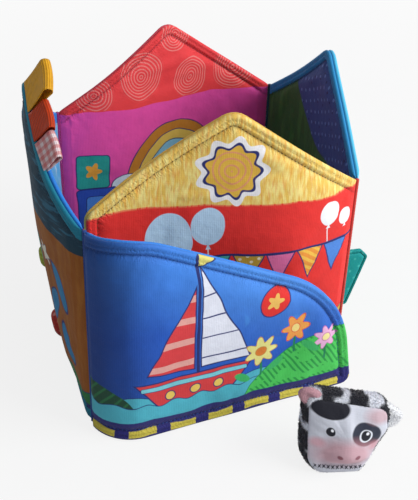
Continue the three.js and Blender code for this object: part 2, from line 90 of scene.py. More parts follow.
# A wave texture of scale 1 has this many waves to the unit
WAVES = 3.18

Array = np.ndarray
Faces = list[tuple[int, ...]]
Tree = bpy.types.NodeTree
Socket = bpy.types.NodeSocket
Material = bpy.types.Material
Piece = bpy.types.Object
Inputs = dict | list | tuple


def linear(colour: str) -> tuple[float, float, float, float]:
    """Turn an sRGB hex colour into linear red, green, blue and alpha.

    Args:
        colour: the colour as #rrggbb.

    Returns:
        Its linear channels, with an alpha of 1.
    """
    parts = [int(colour[i : i + 2], 16) / 255 for i in (1, 3, 5)]
    red, green, blue = (c / 12.92 if c <= 0.04045 else ((c + 0.055) / 1.055) ** 2.4 for c in parts)
    return red, green, blue, 1.0


def add(tree: Tree, kind: str, inputs: Inputs = (), output: int | str | None = None, **settings: object) -> Socket:
    """Add a node with its settings, values and links.

    Args:
        tree: the tree that the node goes in.
        kind: Blender's name for the node, a shader node's without its first word. A point and the name of its
            operation or type of data may follow.
        inputs: a value or a socket to link, for each input's name or number, or for those in use in order.
        output: the name or number of the output to give back, unless it is the first in use.
        **settings: the node's own properties.

    Returns:
        The output socket.
    """
    kind, _, choice = kind.partition(".")
    node = tree.nodes.new(kind if "Node" in kind else f"ShaderNode{kind}")
    if choice:
        setattr(node, "operation" if hasattr(node, "operation") else "data_type", choice)
    for name, value in settings.items():
        setattr(node, name, value)
    if isinstance(inputs, dict):
        pairs = [(node.inputs[name], value) for name, value in inputs.items()]
    else:
        pairs = zip([socket for socket in node.inputs if socket.enabled], inputs)
    for socket, value in pairs:
        if isinstance(value, bpy.types.NodeSocket):
            tree.links.new(value, socket)
        else:
            socket.default_value = value
    return next(socket for socket in node.outputs if socket.enabled) if output is None else node.outputs[output]


def chain(tree: Tree, value: Socket, *steps: tuple) -> Socket:
    """Pass a value through nodes, one after the other.

    Args:
        tree: the tree that the nodes go in.
        value: the first node's first input.
        *steps: each node's kind and its further inputs.

    Returns:
        The last node's output.
    """
    for kind, *rest in steps:
        value = add(tree, kind, (value, *rest))
    return value


# Printed shapes: each gives the distance in millimetres from a place to its outline, negative inside


@dataclass(frozen=True)
class Shape:
    """A printed shape on a cloth's own map."""

    def distance(self, tree: Tree, place: Socket) -> Socket:
        """Give the distance to the shape's outline, negative inside."""
        raise NotImplementedError


@dataclass(frozen=True)
class Disc(Shape):
    """A round or oval disc."""

    x: float
    y: float
    wide: float
    tall: float = 0.0
    turn: float = 0.0

    def distance(self, tree: Tree, place: Socket) -> Socket:
        """Give the distance to the disc's rim.

        Args:
            tree: the material's tree.
            place: the place on the cloth in millimetres.

        Returns:
            The distance in millimetres.
        """
        tall = self.tall or self.wide
        spot = add(tree, "Mapping", {
            "Vector": place, "Location": (self.x, self.y, 0), "Rotation": (0, 0, radians(self.turn)),
            "Scale": (self.wide, tall, 1),
        }, vector_type="TEXTURE")
        size = min(self.wide, tall)
        return chain(tree, spot, ("VectorMath.LENGTH",), ("Math.MULTIPLY_ADD", size, -size))


@dataclass(frozen=True)
class Block(Shape):
    """A rectangle with round corners."""

    x: float
    y: float
    wide: float
    tall: float
    radius: float = 1.0
    turn: float = 0.0

    def distance(self, tree: Tree, place: Socket) -> Socket:
        """Give the distance to the rectangle's edge.

        Args:
            tree: the material's tree.
            place: the place on the cloth in millimetres.

        Returns:
            The distance in millimetres.
        """
        spot = add(tree, "Mapping", {
            "Vector": place, "Location": (self.x, self.y, 0), "Rotation": (0, 0, radians(self.turn)),
        }, vector_type="TEXTURE")
        half = (self.wide / 2 - self.radius, self.tall / 2 - self.radius, 0)
        return chain(
            tree, spot, ("VectorMath.ABSOLUTE",), ("VectorMath.SUBTRACT", half), ("VectorMath.MAXIMUM", (0, 0, 0)),
            ("VectorMath.LENGTH",), ("Math.SUBTRACT", self.radius),
        )


@dataclass(frozen=True)
class Facets(Shape):
    """A shape with straight sides that bulges everywhere, its corners counterclockwise."""

    corners: tuple[tuple[float, float], ...]

    def distance(self, tree: Tree, place: Socket) -> Socket:
        """Give the largest distance past any of the sides.

        Args:
            tree: the material's tree.
            place: the place on the cloth in millimetres.

        Returns:
            The distance in millimetres.
        """
        worst = None
        for (ax, ay), (bx, by) in zip(self.corners, self.corners[1:] + self.corners[:1]):
            length = hypot(bx - ax, by - ay)
            out = ((by - ay) / length, (ax - bx) / length, 0)
            past = chain(tree, place, ("VectorMath.DOT_PRODUCT", out), ("Math.SUBTRACT", ax * out[0] + ay * out[1]))
            if worst is not None:
                past = add(tree, "Math.MAXIMUM", (past, worst))
            worst = past
        return worst


@dataclass(frozen=True)
class Flower(Shape):
    """A flower with round petals."""

    x: float
    y: float
    size: float
    petals: int = 6
    depth: float = 0.22
    turn: float = 0.0

    def distance(self, tree: Tree, place: Socket) -> Socket:
        """Give the distance to the petals' edge.

        Args:
            tree: the material's tree.
            place: the place on the cloth in millimetres.

        Returns:
            The distance in millimetres.
        """
        spot = add(tree, "Mapping", {
            "Vector": place, "Location": (self.x, self.y, 0), "Rotation": (0, 0, radians(self.turn)),
        }, vector_type="TEXTURE")
        parts = add(tree, "SeparateXYZ", (spot,)).node
        angle = add(tree, "Math.ARCTAN2", (parts.outputs[1], parts.outputs[0]))
        deep, least = self.size * self.depth, self.size * (1 - self.depth)
        edge = chain(tree, angle, ("Math.MULTIPLY", self.petals), ("Math.COSINE",), ("Math.MULTIPLY_ADD", deep, least))
        return chain(tree, spot, ("VectorMath.LENGTH",), ("Math.SUBTRACT", edge))


@dataclass(frozen=True)
class Above(Shape):
    """All above a gently waving line, or all below it."""

    y: float
    wave: float = 0.0
    length: float = 90.0
    slope: float = 0.0
    below: bool = False

    def distance(self, tree: Tree, place: Socket) -> Socket:
        """Give the height under the line, or over it.

        Args:
            tree: the material's tree.
            place: the place on the cloth in millimetres.

        Returns:
            The distance in millimetres.
        """
        parts = add(tree, "SeparateXYZ", (place,)).node
        line = chain(
            tree, parts.outputs[0], ("Math.MULTIPLY", 2 * pi / self.length), ("Math.SINE",),
            ("Math.MULTIPLY_ADD", self.wave, self.y),
        )
        line = add(tree, "Math.MULTIPLY_ADD", (parts.outputs[0], self.slope, line))
        order = (parts.outputs[1], line) if self.below else (line, parts.outputs[1])
        return add(tree, "Math.SUBTRACT", order)


@dataclass(frozen=True)
class Dots(Shape):
    """Rows of dots."""

    pitch: float
    size: float
    turn: float = 30.0

    def distance(self, tree: Tree, place: Socket) -> Socket:
        """Give the distance to the nearest dot.

        Args:
            tree: the material's tree.
            place: the place on the cloth in millimetres.

        Returns:
            The distance in millimetres.
        """
        cell = add(tree, "Mapping", {
            "Vector": place, "Rotation": (0, 0, radians(self.turn)), "Scale": (self.pitch,) * 3,
        }, vector_type="TEXTURE")
        return chain(
            tree, cell, ("VectorMath.FRACTION",), ("VectorMath.DISTANCE", (0.5, 0.5, 0)),
            ("Math.MULTIPLY_ADD", self.pitch, -self.size),
        )


@dataclass(frozen=True)
class Stripes(Shape):
    """Parallel stripes, upright where they aren't turned."""

    pitch: float
    width: float
    turn: float = 0.0
    start: float = 0.0

    def distance(self, tree: Tree, place: Socket) -> Socket:
        """Give the distance to the nearest stripe's edge.

        Args:
            tree: the material's tree.
            place: the place on the cloth in millimetres.

        Returns:
            The distance in millimetres.
        """
        spot = add(tree, "Mapping", {
            "Vector": place, "Location": (self.start, 0, 0), "Rotation": (0, 0, radians(self.turn)),
            "Scale": (self.pitch,) * 3,
        }, vector_type="TEXTURE")
        return chain(
            tree, spot, ("SeparateXYZ",), ("Math.PINGPONG", 0.5),
            ("Math.MULTIPLY_ADD", -self.pitch, (self.pitch - self.width) / 2),
        )


@dataclass(frozen=True)
class Ripples(Shape):
    """Rings one inside the other, as a crayon draws them."""

    x: float
    y: float
    size: float
    pitch: float
    width: float

    def distance(self, tree: Tree, place: Socket) -> Socket:
        """Give the distance to the nearest ring's edge, inside the outermost one.

        Args:
            tree: the material's tree.
            place: the place on the cloth in millimetres.

        Returns:
            The distance in millimetres.
        """
        wobble = add(tree, "TexNoise", {"Vector": place, "Scale": 0.045, "Detail": 1.0})
        reach = add(tree, "VectorMath.DISTANCE", (place, (self.x, self.y, 0)))
        reach = add(tree, "Math.MULTIPLY_ADD", (wobble, 4.0, reach))
        fold = add(tree, "Math.PINGPONG", (reach, self.pitch / 2))
        ring = add(tree, "Math.SUBTRACT", ((self.pitch - self.width) / 2, fold))
        past = add(tree, "Math.SUBTRACT", (reach, self.size))
        return add(tree, "Math.MAXIMUM", (ring, past))


@dataclass(frozen=True)
class Mottle(Shape):
    """Blots or streaks that cover about a share of the cloth."""

    wide: float
    tall: float
    cover: float

    def distance(self, tree: Tree, place: Socket) -> Socket:
        """Give a rough distance from the blots' edges.

        Args:
            tree: the material's tree.
            place: the place on the cloth in millimetres.

        Returns:
            The distance in millimetres.
        """
        spot = add(tree, "Mapping", {"Vector": place, "Scale": (1 / self.wide, 1 / self.tall, 1)})
        cloud = add(tree, "TexNoise", {"Vector": spot, "Scale": 1.0, "Detail": 4.0})
        size = min(self.wide, self.tall)
        edge = 0.66 - 0.32 * self.cover
        return add(tree, "Math.MULTIPLY_ADD", (cloud, -8 * size, 8 * size * edge))


@dataclass(frozen=True)
class Both(Shape):
    """Where two shapes overlap."""

    first: Shape
    second: Shape

    def distance(self, tree: Tree, place: Socket) -> Socket:
        """Give the larger of the two distances."""
        return add(tree, "Math.MAXIMUM", [shape.distance(tree, place) for shape in (self.first, self.second)])


@dataclass(frozen=True)
class Either(Shape):
    """Where any of several shapes is."""

    shapes: tuple[Shape, ...]

    def distance(self, tree: Tree, place: Socket) -> Socket:
        """Give the smallest of the distances.

        Args:
            tree: the material's tree.
            place: the place on the cloth in millimetres.

        Returns:
            The distance in millimetres.
        """
        least = self.shapes[0].distance(tree, place)
        for shape in self.shapes[1:]:
            least = add(tree, "Math.MINIMUM", (shape.distance(tree, place), least))
        return least


@dataclass(frozen=True)
class Motif:
    """A shape printed in one colour, with an outline if line is over 0."""

    shape: Shape
    colour: str
    line: float = 0.0
    ink: str = NAVY
    strength: float = 1.0
    soft: float = 0.5

    def over(self, tree: Tree, place: Socket, ground: Socket | tuple[float, ...]) -> Socket:
        """Print the motif over what is there.

        Args:
            tree: the material's tree.
            place: the place on the cloth in millimetres.
            ground: the colour under the motif.

        Returns:
            The colour with the motif on it.
        """
        distance = self.shape.distance(tree, place)
        layers = [(self.line, self.ink), (0.0, self.colour)] if self.line else [(0.0, self.colour)]
        for grow, colour in layers:
            cover = add(tree, "Math.MULTIPLY_ADD", (distance, -1 / self.soft, 0.5 + grow / self.soft), use_clamp=True)
            if self.strength < 1:
                cover = add(tree, "Math.MULTIPLY", (cover, self.strength))
            ground = add(tree, "Mix.RGBA", (cover, ground, linear(colour)))
        return ground


@dataclass(frozen=True)
class Finish:
    """A named finish. Cloth, thread, plush and filling share one matt shader over a fine relief."""

    name: str

    def shader(self, tree: Tree) -> Socket:
        """Add the finish's nodes and give their shader."""
        raise NotImplementedError

    def matt(
        self, tree: Tree, colour: Socket, roughness: float, sheen: float,
        relief: Socket, strength: float, depth: float,
    ) -> Socket:
        """Shade a soft surface.

        Args:
            tree: the material's tree.
            colour: its colour.
            roughness: how rough it is.
            sheen: the glow of its fuzz at a slant.
            relief: the height of its fine relief.
            strength: how strongly the relief shows.
            depth: the relief's depth in metres.

        Returns:
            The shader.
        """
        normal = add(tree, "Bump", {"Height": relief, "Strength": strength, "Distance": depth})
        return add(tree, "BsdfPrincipled", {
            "Base Color": colour, "Roughness": roughness, "Sheen Weight": sheen, "Sheen Roughness": 0.5,
            "Specular IOR Level": 0.2, "Normal": normal,
        })

    def material(self) -> Material:
        """Build the finish's material.

        Returns:
            A new material.
        """
        material = bpy.data.materials.new(self.name)
        material.use_nodes = True
        tree = material.node_tree
        tree.nodes.clear()
        tree.links.new(self.shader(tree), tree.nodes.new("ShaderNodeOutputMaterial").inputs["Surface"])
        return material


@dataclass(frozen=True)
class PrintedCloth(Finish):
    """Polyester jersey with a transfer print: smooth and slightly soft, with a fine knit and pale fuzz.

    The knit's real loops are about 0.5 mm, too fine to show, so they are drawn 1.3 mm apart.
    """

    ground: str
    motifs: tuple[Motif, ...] = ()
    bead: str = ""
    knit: float = 1.3
    roughness: float = 0.62
    sheen: float = 0.05

    def shader(self, tree: Tree) -> Socket:
        """Print the cloth by its own map, paint shade in its grooves by its distance to the edge, and draw it in there
        with relief.

        Args:
            tree: the material's tree.

        Returns:
            The shader.
        """
        chart = add(tree, "UVMap", uv_map=MAP)
        flat = add(tree, "VectorMath.MULTIPLY", (chart, (MAP_SPAN,) * 3))
        # A slight wobble makes the outlines look drawn by hand
        wobble = add(tree, "TexNoise", {"Vector": flat, "Scale": 0.034, "Detail": 1.0}, output=1)
        place = chain(
            tree, wobble, ("VectorMath.SUBTRACT", (0.5,) * 3), ("VectorMath.MULTIPLY_ADD", (5.0, 5.0, 0), flat)
        )
        colour = linear(self.ground)
        for motif in self.motifs:
            colour = motif.over(tree, place, colour)
        edge = add(tree, "Attribute", output=2, attribute_name=EDGE)
        if self.bead:
            rim = add(tree, "Math.MULTIPLY_ADD", (edge, -2.0, 2 * STITCH_LINE - 1), use_clamp=True)
            colour = add(tree, "Mix.RGBA", (rim, colour, linear(self.bead)))
        # Painted shade: the cloth is darkened in the groove where the thread draws it in, and a little in the groove
        # between the two rolls of the rim
        away, roll = (
            chain(tree, edge, ("Math.SUBTRACT", line), ("Math.ABSOLUTE",)) for line in (STITCH_LINE, ROLL_LINE)
        )
        away = chain(tree, roll, ("Math.ADD", 0.8), ("Math.MINIMUM", away))
        painted_groove_shade = add(tree, "Math.MULTIPLY_ADD", (away, -0.2, 0.28), use_clamp=True)
        colour = add(tree, "Mix.RGBA", (painted_groove_shade, colour, (0.012, 0.012, 0.02, 1)))
        fade = add(tree, "TexNoise", {"Vector": flat, "Scale": 0.06, "Detail": 3.0})
        colour = add(tree, "VectorMath.SCALE", (colour, add(tree, "Math.MULTIPLY_ADD", (fade, 0.3, 0.85))))
        relief = self._relief(tree, flat, away)
        return self.matt(tree, colour, self.roughness, self.sheen, relief, strength=0.5, depth=0.0012)

    def _relief(self, tree: Tree, flat: Socket, away: Socket) -> Socket:
        """Give the height of the knit, the padding's unevenness and the gathers along the thread.

        Args:
            tree: the material's tree.
            flat: the place on the cloth in millimetres.
            away: the distance to the thread.

        Returns:
            The relief's height.
        """
        scale = 1 / (self.knit * WAVES)
        loops = [
            add(tree, "TexWave", {
                "Vector": flat, "Scale": scale, "Distortion": 1.2, "Detail": 1.0, "Detail Scale": 2.0,
            }, output=1, bands_direction=direction)
            for direction in ("X", "Y")
        ]
        loops = add(tree, "Math.ADD", loops)
        soft = add(tree, "TexNoise", {"Vector": flat, "Scale": 0.12, "Detail": 4.0})
        height = add(tree, "Math.MULTIPLY_ADD", (loops, 0.05, soft))
        run = add(tree, "Attribute", output=2, attribute_name=RUN)
        sway = add(tree, "TexNoise", {"Vector": flat, "Scale": 0.2})
        near = add(tree, "Math.MULTIPLY_ADD", (away, -0.045, 0.25), use_clamp=True)
        return chain(
            tree, sway, ("Math.MULTIPLY_ADD", 14.0, run), ("Math.MULTIPLY", 1.9), ("Math.SINE",),
            ("Math.MULTIPLY_ADD", near, height),
        )


@dataclass(frozen=True)
class Thread(Finish):
    """Spun polyester sewing thread: matt, with a twist that shows as fine slanting bands."""

    colour: str

    def shader(self, tree: Tree) -> Socket:
        """Twist the thread every 0.9 mm.

        Args:
            tree: the material's tree.

        Returns:
            The shader.
        """
        place = add(tree, "TexCoord", output="Object")
        twist = add(tree, "TexWave", {
            "Vector": place, "Scale": 350.0, "Distortion": 2.0,
        }, output=1, bands_direction="DIAGONAL")
        dark = tuple(channel * 0.7 for channel in linear(self.colour)[:3])
        colour = add(tree, "Mix.RGBA", (twist, (*dark, 1.0), linear(self.colour)))
        return self.matt(tree, colour, roughness=0.7, sheen=0.15, relief=twist, strength=0.4, depth=0.0002)


class Weave(Enum):
    """How a ribbon is woven."""

    GROSGRAIN = "ribs across the ribbon"
    GINGHAM = "checks of two colours"


@dataclass(frozen=True)
class Ribbon(Finish):
    """Woven polyester ribbon: a crisp surface with a soft gloss, and ribs or checks from its yarns."""

    colour: str
    other: str
    weave: Weave
    pitch: float
    roughness: float = 0.45

    def shader(self, tree: Tree) -> Socket:
        """Weave the ribbon on its map of width and length.

        Args:
            tree: the material's tree.

        Returns:
            The shader.
        """
        chart = add(tree, "UVMap", uv_map=MAP)
        flat = add(tree, "VectorMath.MULTIPLY", (chart, (MAP_SPAN,) * 3))
        ribs = add(tree, "TexWave", {
            "Vector": flat, "Scale": 1 / (self.pitch * WAVES), "Distortion": 0.3,
        }, output=1, bands_direction="Y")
        if self.weave is Weave.GINGHAM:
            # Full colour where both yarns are dyed, half where one is, white elsewhere
            colour = linear(self.other)
            for turn in (0.0, 90.0):
                colour = Motif(Stripes(5.6, 2.8, turn), self.colour, strength=0.5, soft=0.3).over(tree, flat, colour)
        else:
            colour = add(tree, "Mix.RGBA", (ribs, linear(self.other), linear(self.colour)))
        cloud = add(tree, "TexNoise", {"Vector": flat, "Scale": 0.25, "Detail": 2.0})
        colour = add(tree, "VectorMath.SCALE", (colour, add(tree, "Math.MULTIPLY_ADD", (cloud, 0.35, 0.82))))
        return self.matt(tree, colour, self.roughness, sheen=0.0, relief=ribs, strength=0.6, depth=0.0004)


@dataclass(frozen=True)
class Plush(Finish):
    """Short polyester pile, about 1.2 mm: matt and fuzzy, dark and pale in bands like a cow's hide."""

    pale: str
    dark: str
    # From band to band, how far the bands sway and over what length, how much wider the dark ones are, and how
    # sharply they end
    pitch: float = 21.0
    sway: float = 2.2
    lump: float = 9.0
    shift: float = 0.35
    sharp: float = 3.5

    def bands(self, chart: Array) -> Array:
        """Say how dark the pile is, from 0 to 1, at each place along the band and across it."""
        wave = np.sin(chart[:, 0] * 2 * pi / self.pitch + self.sway * waves(chart, self.lump, 5.0)) + self.shift
        return np.clip(wave * self.sharp + 0.5, 0, 1)

    def shader(self, tree: Tree) -> Socket:
        """Shade the plush by how dark each point's pile is.

        Args:
            tree: the material's tree.

        Returns:
            The shader.
        """
        place = add(tree, "TexCoord", output="Object")
        dark = add(tree, "Attribute", output=2, attribute_name=DARK)
        colour = add(tree, "Mix.RGBA", (dark, linear(self.pale), linear(self.dark)))
        pile = add(tree, "TexNoise", {"Vector": place, "Scale": 900.0, "Detail": 3.0})
        colour = add(tree, "VectorMath.SCALE", (colour, add(tree, "Math.MULTIPLY_ADD", (pile, 0.8, 0.55))))
        return self.matt(tree, colour, roughness=0.9, sheen=0.3, relief=pile, strength=0.8, depth=0.0008)


@dataclass(frozen=True)
class Filling(Finish):
    """What pads a page or the cow, which only an opened seam would show: matt fibre or crackling film."""

    colour: str
    grain: float
    roughness: float

    def shader(self, tree: Tree) -> Socket:
        """Shade the filling with lumps or creases a grain apart.

        Args:
            tree: the material's tree.

        Returns:
            The shader.
        """
        place = add(tree, "TexCoord", output="Object")
        lumps = add(tree, "TexNoise", {"Vector": place, "Scale": 1 / self.grain, "Detail": 4.0})
        shade = add(tree, "Math.MULTIPLY_ADD", (lumps, 0.4, 0.75))
        colour = add(tree, "VectorMath.SCALE", (linear(self.colour)[:3], shade))
        return self.matt(tree, colour, self.roughness, sheen=0.1, relief=lumps, strength=0.5, depth=0.001)


@dataclass(frozen=True)
class Paper(Finish):
    """White matt studio paper, which looks nearly white outside the object's shadow."""

    # How far it is lifted to white for the camera, and how much more for each metre from the middle, so that
    # its far edge doesn't show
    whiteness: float = 0.82
    fade: float = 0.1

    def shader(self, tree: Tree) -> Socket:
        """Shade the paper, and lift it to white where the camera sees it.

        Args:
            tree: the material's tree.

        Returns:
            The shader.
        """
        place = add(tree, "TexCoord", output="Object")
        grain = add(tree, "TexNoise", {"Vector": place, "Scale": 40.0, "Detail": 3.0})
        colour = add(tree, "Mix.RGBA", (grain, linear("#dededd"), linear("#e8e8e7")))
        paper = add(tree, "BsdfDiffuse", (colour,))
        white = add(tree, "Emission", ((1, 1, 1, 1), 1.0))
        seen = add(tree, "LightPath", output="Is Camera Ray")
        far = add(tree, "VectorMath.LENGTH", (place,))
        far = add(tree, "Math.MULTIPLY_ADD", (far, self.fade, self.whiteness), use_clamp=True)
        seen = add(tree, "Math.MULTIPLY", (seen, far))
        return add(tree, "MixShader", (seen, paper, white))


PLUSH_WHITE = Plush("white_polyester_plush", "#fafbfe", "#2b2c38")
PLUSH_PINK = Plush("rose_polyester_plush", "#bd8e98", "#2b2c38")
COW_PLUSH = Plush("cow_banded_polyester_plush", "#e6e9f2", "#1e1f29")
FOAM = Filling("polyester_wadding", "#f2efe6", 0.004, 0.9)
FILM = Filling("crinkle_polyethylene_film", "#d7dde2", 0.006, 0.3)


# The page's middle surfaces


def compass(heading: float) -> Array:
    """Give the unit direction of a heading in degrees."""
    return np.array([cos(radians(heading)), sin(radians(heading))])


def left_of(direction: Array) -> Array:
    """Turn directions a quarter turn to the left."""
    return np.stack([-direction[..., 1], direction[..., 0]], axis=-1)


def seam_foot(name: str) -> Array:
    """Give the place of a fold seam on the floor, in millimetres."""
    low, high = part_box(name)
    return np.array([(low[i] + high[i]) / 2 / MM for i in range(2)])


@dataclass(frozen=True)
class BowedWall:
    """The bent middle of a page between two folds, its outward side to the left of its heading."""

    start: Array
    heading: float
    bow: float
    top_bow: float | None = None
    fullness: float = 2.0
    sway: float = 0.0
    width: float = 200.0
    bow_rise: float = 2.3
    top: float = 218.0

    def at(self, places: Array) -> tuple[Array, Array]:
        """Find places on the wall.

        Args:
            places: reach and height of each place.

        Returns:
            The middle of the page and its outward direction at each place.
        """
        full, width = self.fullness, self.width
        taken = 4 * (full * self.bow) ** 2 / (2 * full - 1) + 2 * (pi * self.sway) ** 2
        chord = width - taken / (2 * width)
        share = places[:, 0] / width
        low = np.clip(1 - places[:, 1] / self.top, 0, None) ** self.bow_rise
        top_bow = self.bow if self.top_bow is None else self.top_bow
        bow = top_bow + (self.bow - top_bow) * low
        middle = 1 - 2 * share
        offset = bow * (1 - np.abs(middle) ** full) + self.sway * np.sin(2 * pi * share)
        slope = 2 * full * bow * np.abs(middle) ** (full - 1) * np.sign(middle)
        slope = (slope + 2 * pi * self.sway * np.cos(2 * pi * share)) / chord
        along = compass(self.heading)
        outward = left_of(along)
        spot = self.start + np.outer(chord * share, along) + np.outer(offset, outward)
        side = outward - np.outer(slope, along)
        return spot, side / norm(side, axis=1, keepdims=True)


@dataclass(frozen=True)
class CurledWall:
    """The middle of the cover, which curls round the corner and runs on straight, its outside to the right."""

    start: Array
    radius: float = 28.0
    first_heading: float = -90.0
    heading: float = 1.5

    def at(self, places: Array) -> tuple[Array, Array]:
        """Find places on the cover.

        Args:
            places: reach and height of each place.

        Returns:
            The middle of the cover and its outward direction at each place.
        """
        curl = self.radius * radians(self.heading - self.first_heading)
        turn = np.minimum(places[:, 0], curl) / self.radius
        angle = radians(self.first_heading) + turn
        along = np.stack([np.cos(angle), np.sin(angle)], axis=1)
        side = -left_of(along)
        centre = self.start + left_of(compass(self.first_heading)) * self.radius
        past = np.clip(places[:, 0] - curl, 0, None)
        return centre + side * self.radius + along * past[:, None], side


Wall = BowedWall | CurledWall


# Meshes


def flipped(faces: Faces, shift: int = 0) -> Faces:
    """Turn faces over, and shift the numbers of their points."""
    return [tuple(corner + shift for corner in face[::-1]) for face in faces]


def outward(points: Array, faces: Faces) -> Faces:
    """Turn a closed mesh's faces so that they point out.

    Args:
        points: its points.
        faces: its faces, all wound alike.

    Returns:
        The faces, each turned if the mesh was inside out.
    """
    volume = 0.0
    for size in {len(face) for face in faces}:
        some = np.array([face for face in faces if len(face) == size])
        for i in range(1, size - 1):
            a, b, c = points[some[:, 0]], points[some[:, i]], points[some[:, i + 1]]
            volume += float((a * np.cross(b, c)).sum())
    return faces if volume > 0 else flipped(faces)


def make_object(
    name: str, points: Array, faces: Faces, chart: Array | None = None,
    values: dict[str, Array] | None = None, edges: list[tuple[int, int]] | None = None,
) -> Piece:
    """Make an object at the origin from points in millimetres.

    Args:
        name: the object's name.
        points: its points.
        faces: its faces.
        chart: each point's place on the flat cloth.
        values: numbers for each point, by attribute name.
        edges: loose edges.

    Returns:
        The object, smooth shaded and in the scene.
    """
    mesh = bpy.data.meshes.new(name)
    mesh.from_pydata((points * MM).tolist(), edges or [], faces)
    if chart is not None:
        corners = np.empty(len(mesh.loops), dtype=np.int32)
        mesh.loops.foreach_get("vertex_index", corners)
        layer = mesh.uv_layers.new(name=MAP)
        layer.data.foreach_set("uv", (chart[corners] / MAP_SPAN).astype(np.float32).ravel())
    for attribute, numbers in (values or {}).items():
        mesh.attributes.new(attribute, "FLOAT", "POINT").data.foreach_set("value", numbers.astype(np.float32))
    mesh.shade_smooth()
    piece = bpy.data.objects.new(name, mesh)
    bpy.context.scene.collection.objects.link(piece)
    return piece


def band(low: int, high: int, count: int) -> Faces:
    """Give the quads between two rings of points, by the index of each ring's first point."""
    return [(low + i, low + (i + 1) % count, high + (i + 1) % count, high + i) for i in range(count)]


def tube(count: int, rings: int, capped: bool = False) -> Faces:
    """Give the faces between rings of points.

    Args:
        count: the points of each ring.
        rings: the number of rings.
        capped: whether its ends close to two points, which come after the rings.

    Returns:
        The faces.
    """
    faces = [quad for ring in range(rings - 1) for quad in band(ring * count, (ring + 1) * count, count)]
    if capped:
        size, last = rings * count, (rings - 1) * count
        faces += [(size, (i + 1) % count, i) for i in range(count)]
        faces += [(size + 1, last + i, last + (i + 1) % count) for i in range(count)]
    return faces


def settle(
    piece: Piece, body: str, slot: str, node: str = "",
    finish: Finish | None = None,
) -> None:
    """Give a piece its material and let it ride on a body in place of its CAD node.

    Args:
        piece: the piece.
        body: the body that it rides on.
        slot: the record's material slot; not used.
        node: the CAD node that it stands for, if any.
        finish: its finish, unless it has a material.
    """
    if finish:
        piece.data.materials.append(finish.material())
    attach(piece, body)
    if node:
        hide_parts(node)
    log.info("%s: %d triangles", piece.name, len(piece.data.loops) - 2 * len(piece.data.polygons))


def waves(places: Array, size: float, seed: float) -> Array:
    """Give smooth noise of about -1 to 1 at flat places, with lumps of a size in millimetres."""
    return np.array([noise.noise(Vector((x / size, y / size, seed))) for x, y in places[:, :2]])


@dataclass(frozen=True)
class Corner:
    """A corner of a page's outline, and whether the edge after it is free rather than a fold."""

    x: float
    y: float
    radius: float
    free: bool = True


@dataclass(frozen=True)
class Outline:
    """A convex outline with rounded corners, which has as many points at every inset."""

    corners: tuple[Corner, ...]
    step: float

    def _moved(self, inset: float) -> list[tuple[Array, Array, Array, float, float]]:
        """Give each corner moved inward, the directions into and out of it, its radius and its turn.

        Args:
            inset: how far inward.

        Returns:
            A row for each corner.
        """
        at = [np.array([corner.x, corner.y]) for corner in self.corners]
        moved = []
        for i, corner in enumerate(self.corners):
            into, out = at[i] - at[i - 1], at[(i + 1) % len(at)] - at[i]
            into, out = into / norm(into), out / norm(out)
            inward = left_of(into) + left_of(out)
            place = at[i] + inward * inset / (1 + float(left_of(into) @ left_of(out)))
            turn = atan2(into[0] * out[1] - into[1] * out[0], float(into @ out))
            moved.append((place, into, out, max(corner.radius - inset, 1.0), turn))
        return moved

    def _arc(self, moved: tuple[Array, Array, Array, float, float], turns: int) -> Array:
        """Give the points round one corner.

        Args:
            moved: what _moved gives for the corner.
            turns: the number of steps round it.

        Returns:
            The arc's points.
        """
        place, into, _, radius, turn = moved
        start = place - into * radius * tan(turn / 2)
        centre = start + left_of(into) * radius
        angles = np.linspace(0, turn, turns + 1)
        arm = start - centre
        return centre + np.stack([
            arm[0] * np.cos(angles) - arm[1] * np.sin(angles), arm[0] * np.sin(angles) + arm[1] * np.cos(angles),
        ], axis=1)

    def points(self, inset: float = 0.0) -> tuple[Array, list[bool]]:
        """Give the outline at an inset.

        Args:
            inset: how far inward it lies.

        Returns:
            Its points, counterclockwise, and whether the edge after each is free.
        """
        bare, here = self._moved(0.0), self._moved(inset)
        turns = [max(3, round(item[3] * item[4] / self.step)) for item in bare]
        flat = [self._arc(item, count) for item, count in zip(bare, turns)]
        arcs = [self._arc(item, count) for item, count in zip(here, turns)]
        points, free = [], []
        for i, corner in enumerate(self.corners):
            after = (i + 1) % len(arcs)
            runs = max(1, round(float(norm(flat[after][0] - flat[i][-1])) / self.step))
            shares = np.arange(1, runs)[:, None] / runs
            points += [*arcs[i], *(arcs[i][-1] + (arcs[after][0] - arcs[i][-1]) * shares)]
            round_free = corner.free or self.corners[i - 1].free
            free += [round_free] * (len(arcs[i]) - 1) + [corner.free] * runs
        return np.array(points), free


def to_edges(places: Array, line: Array, free: list[bool]) -> tuple[Array, Array]:
    """Measure places against the free edges of an outline.

    Args:
        places: the places.
        line: the closed outline.
        free: whether the edge after each of its points is free.

    Returns:
        The distance to the nearest free edge, and how far along the outline that is.
    """
    ends = np.roll(line, -1, axis=0)
    lengths = norm(ends - line, axis=1)
    starts = np.concatenate([[0.0], np.cumsum(lengths)[:-1]])
    keep = np.array(free)
    start, run, length, first = line[keep], (ends - line)[keep], lengths[keep], starts[keep]
    share = np.einsum("psk,sk->ps", places[:, None] - start[None], run) / length**2
    share = np.clip(share, 0, 1)
    gap = norm(places[:, None] - start[None] - share[..., None] * run[None], axis=2)
    best = gap.argmin(axis=1)
    rows = np.arange(len(places))
    return gap[rows, best], first[best] + share[rows, best] * length[best]


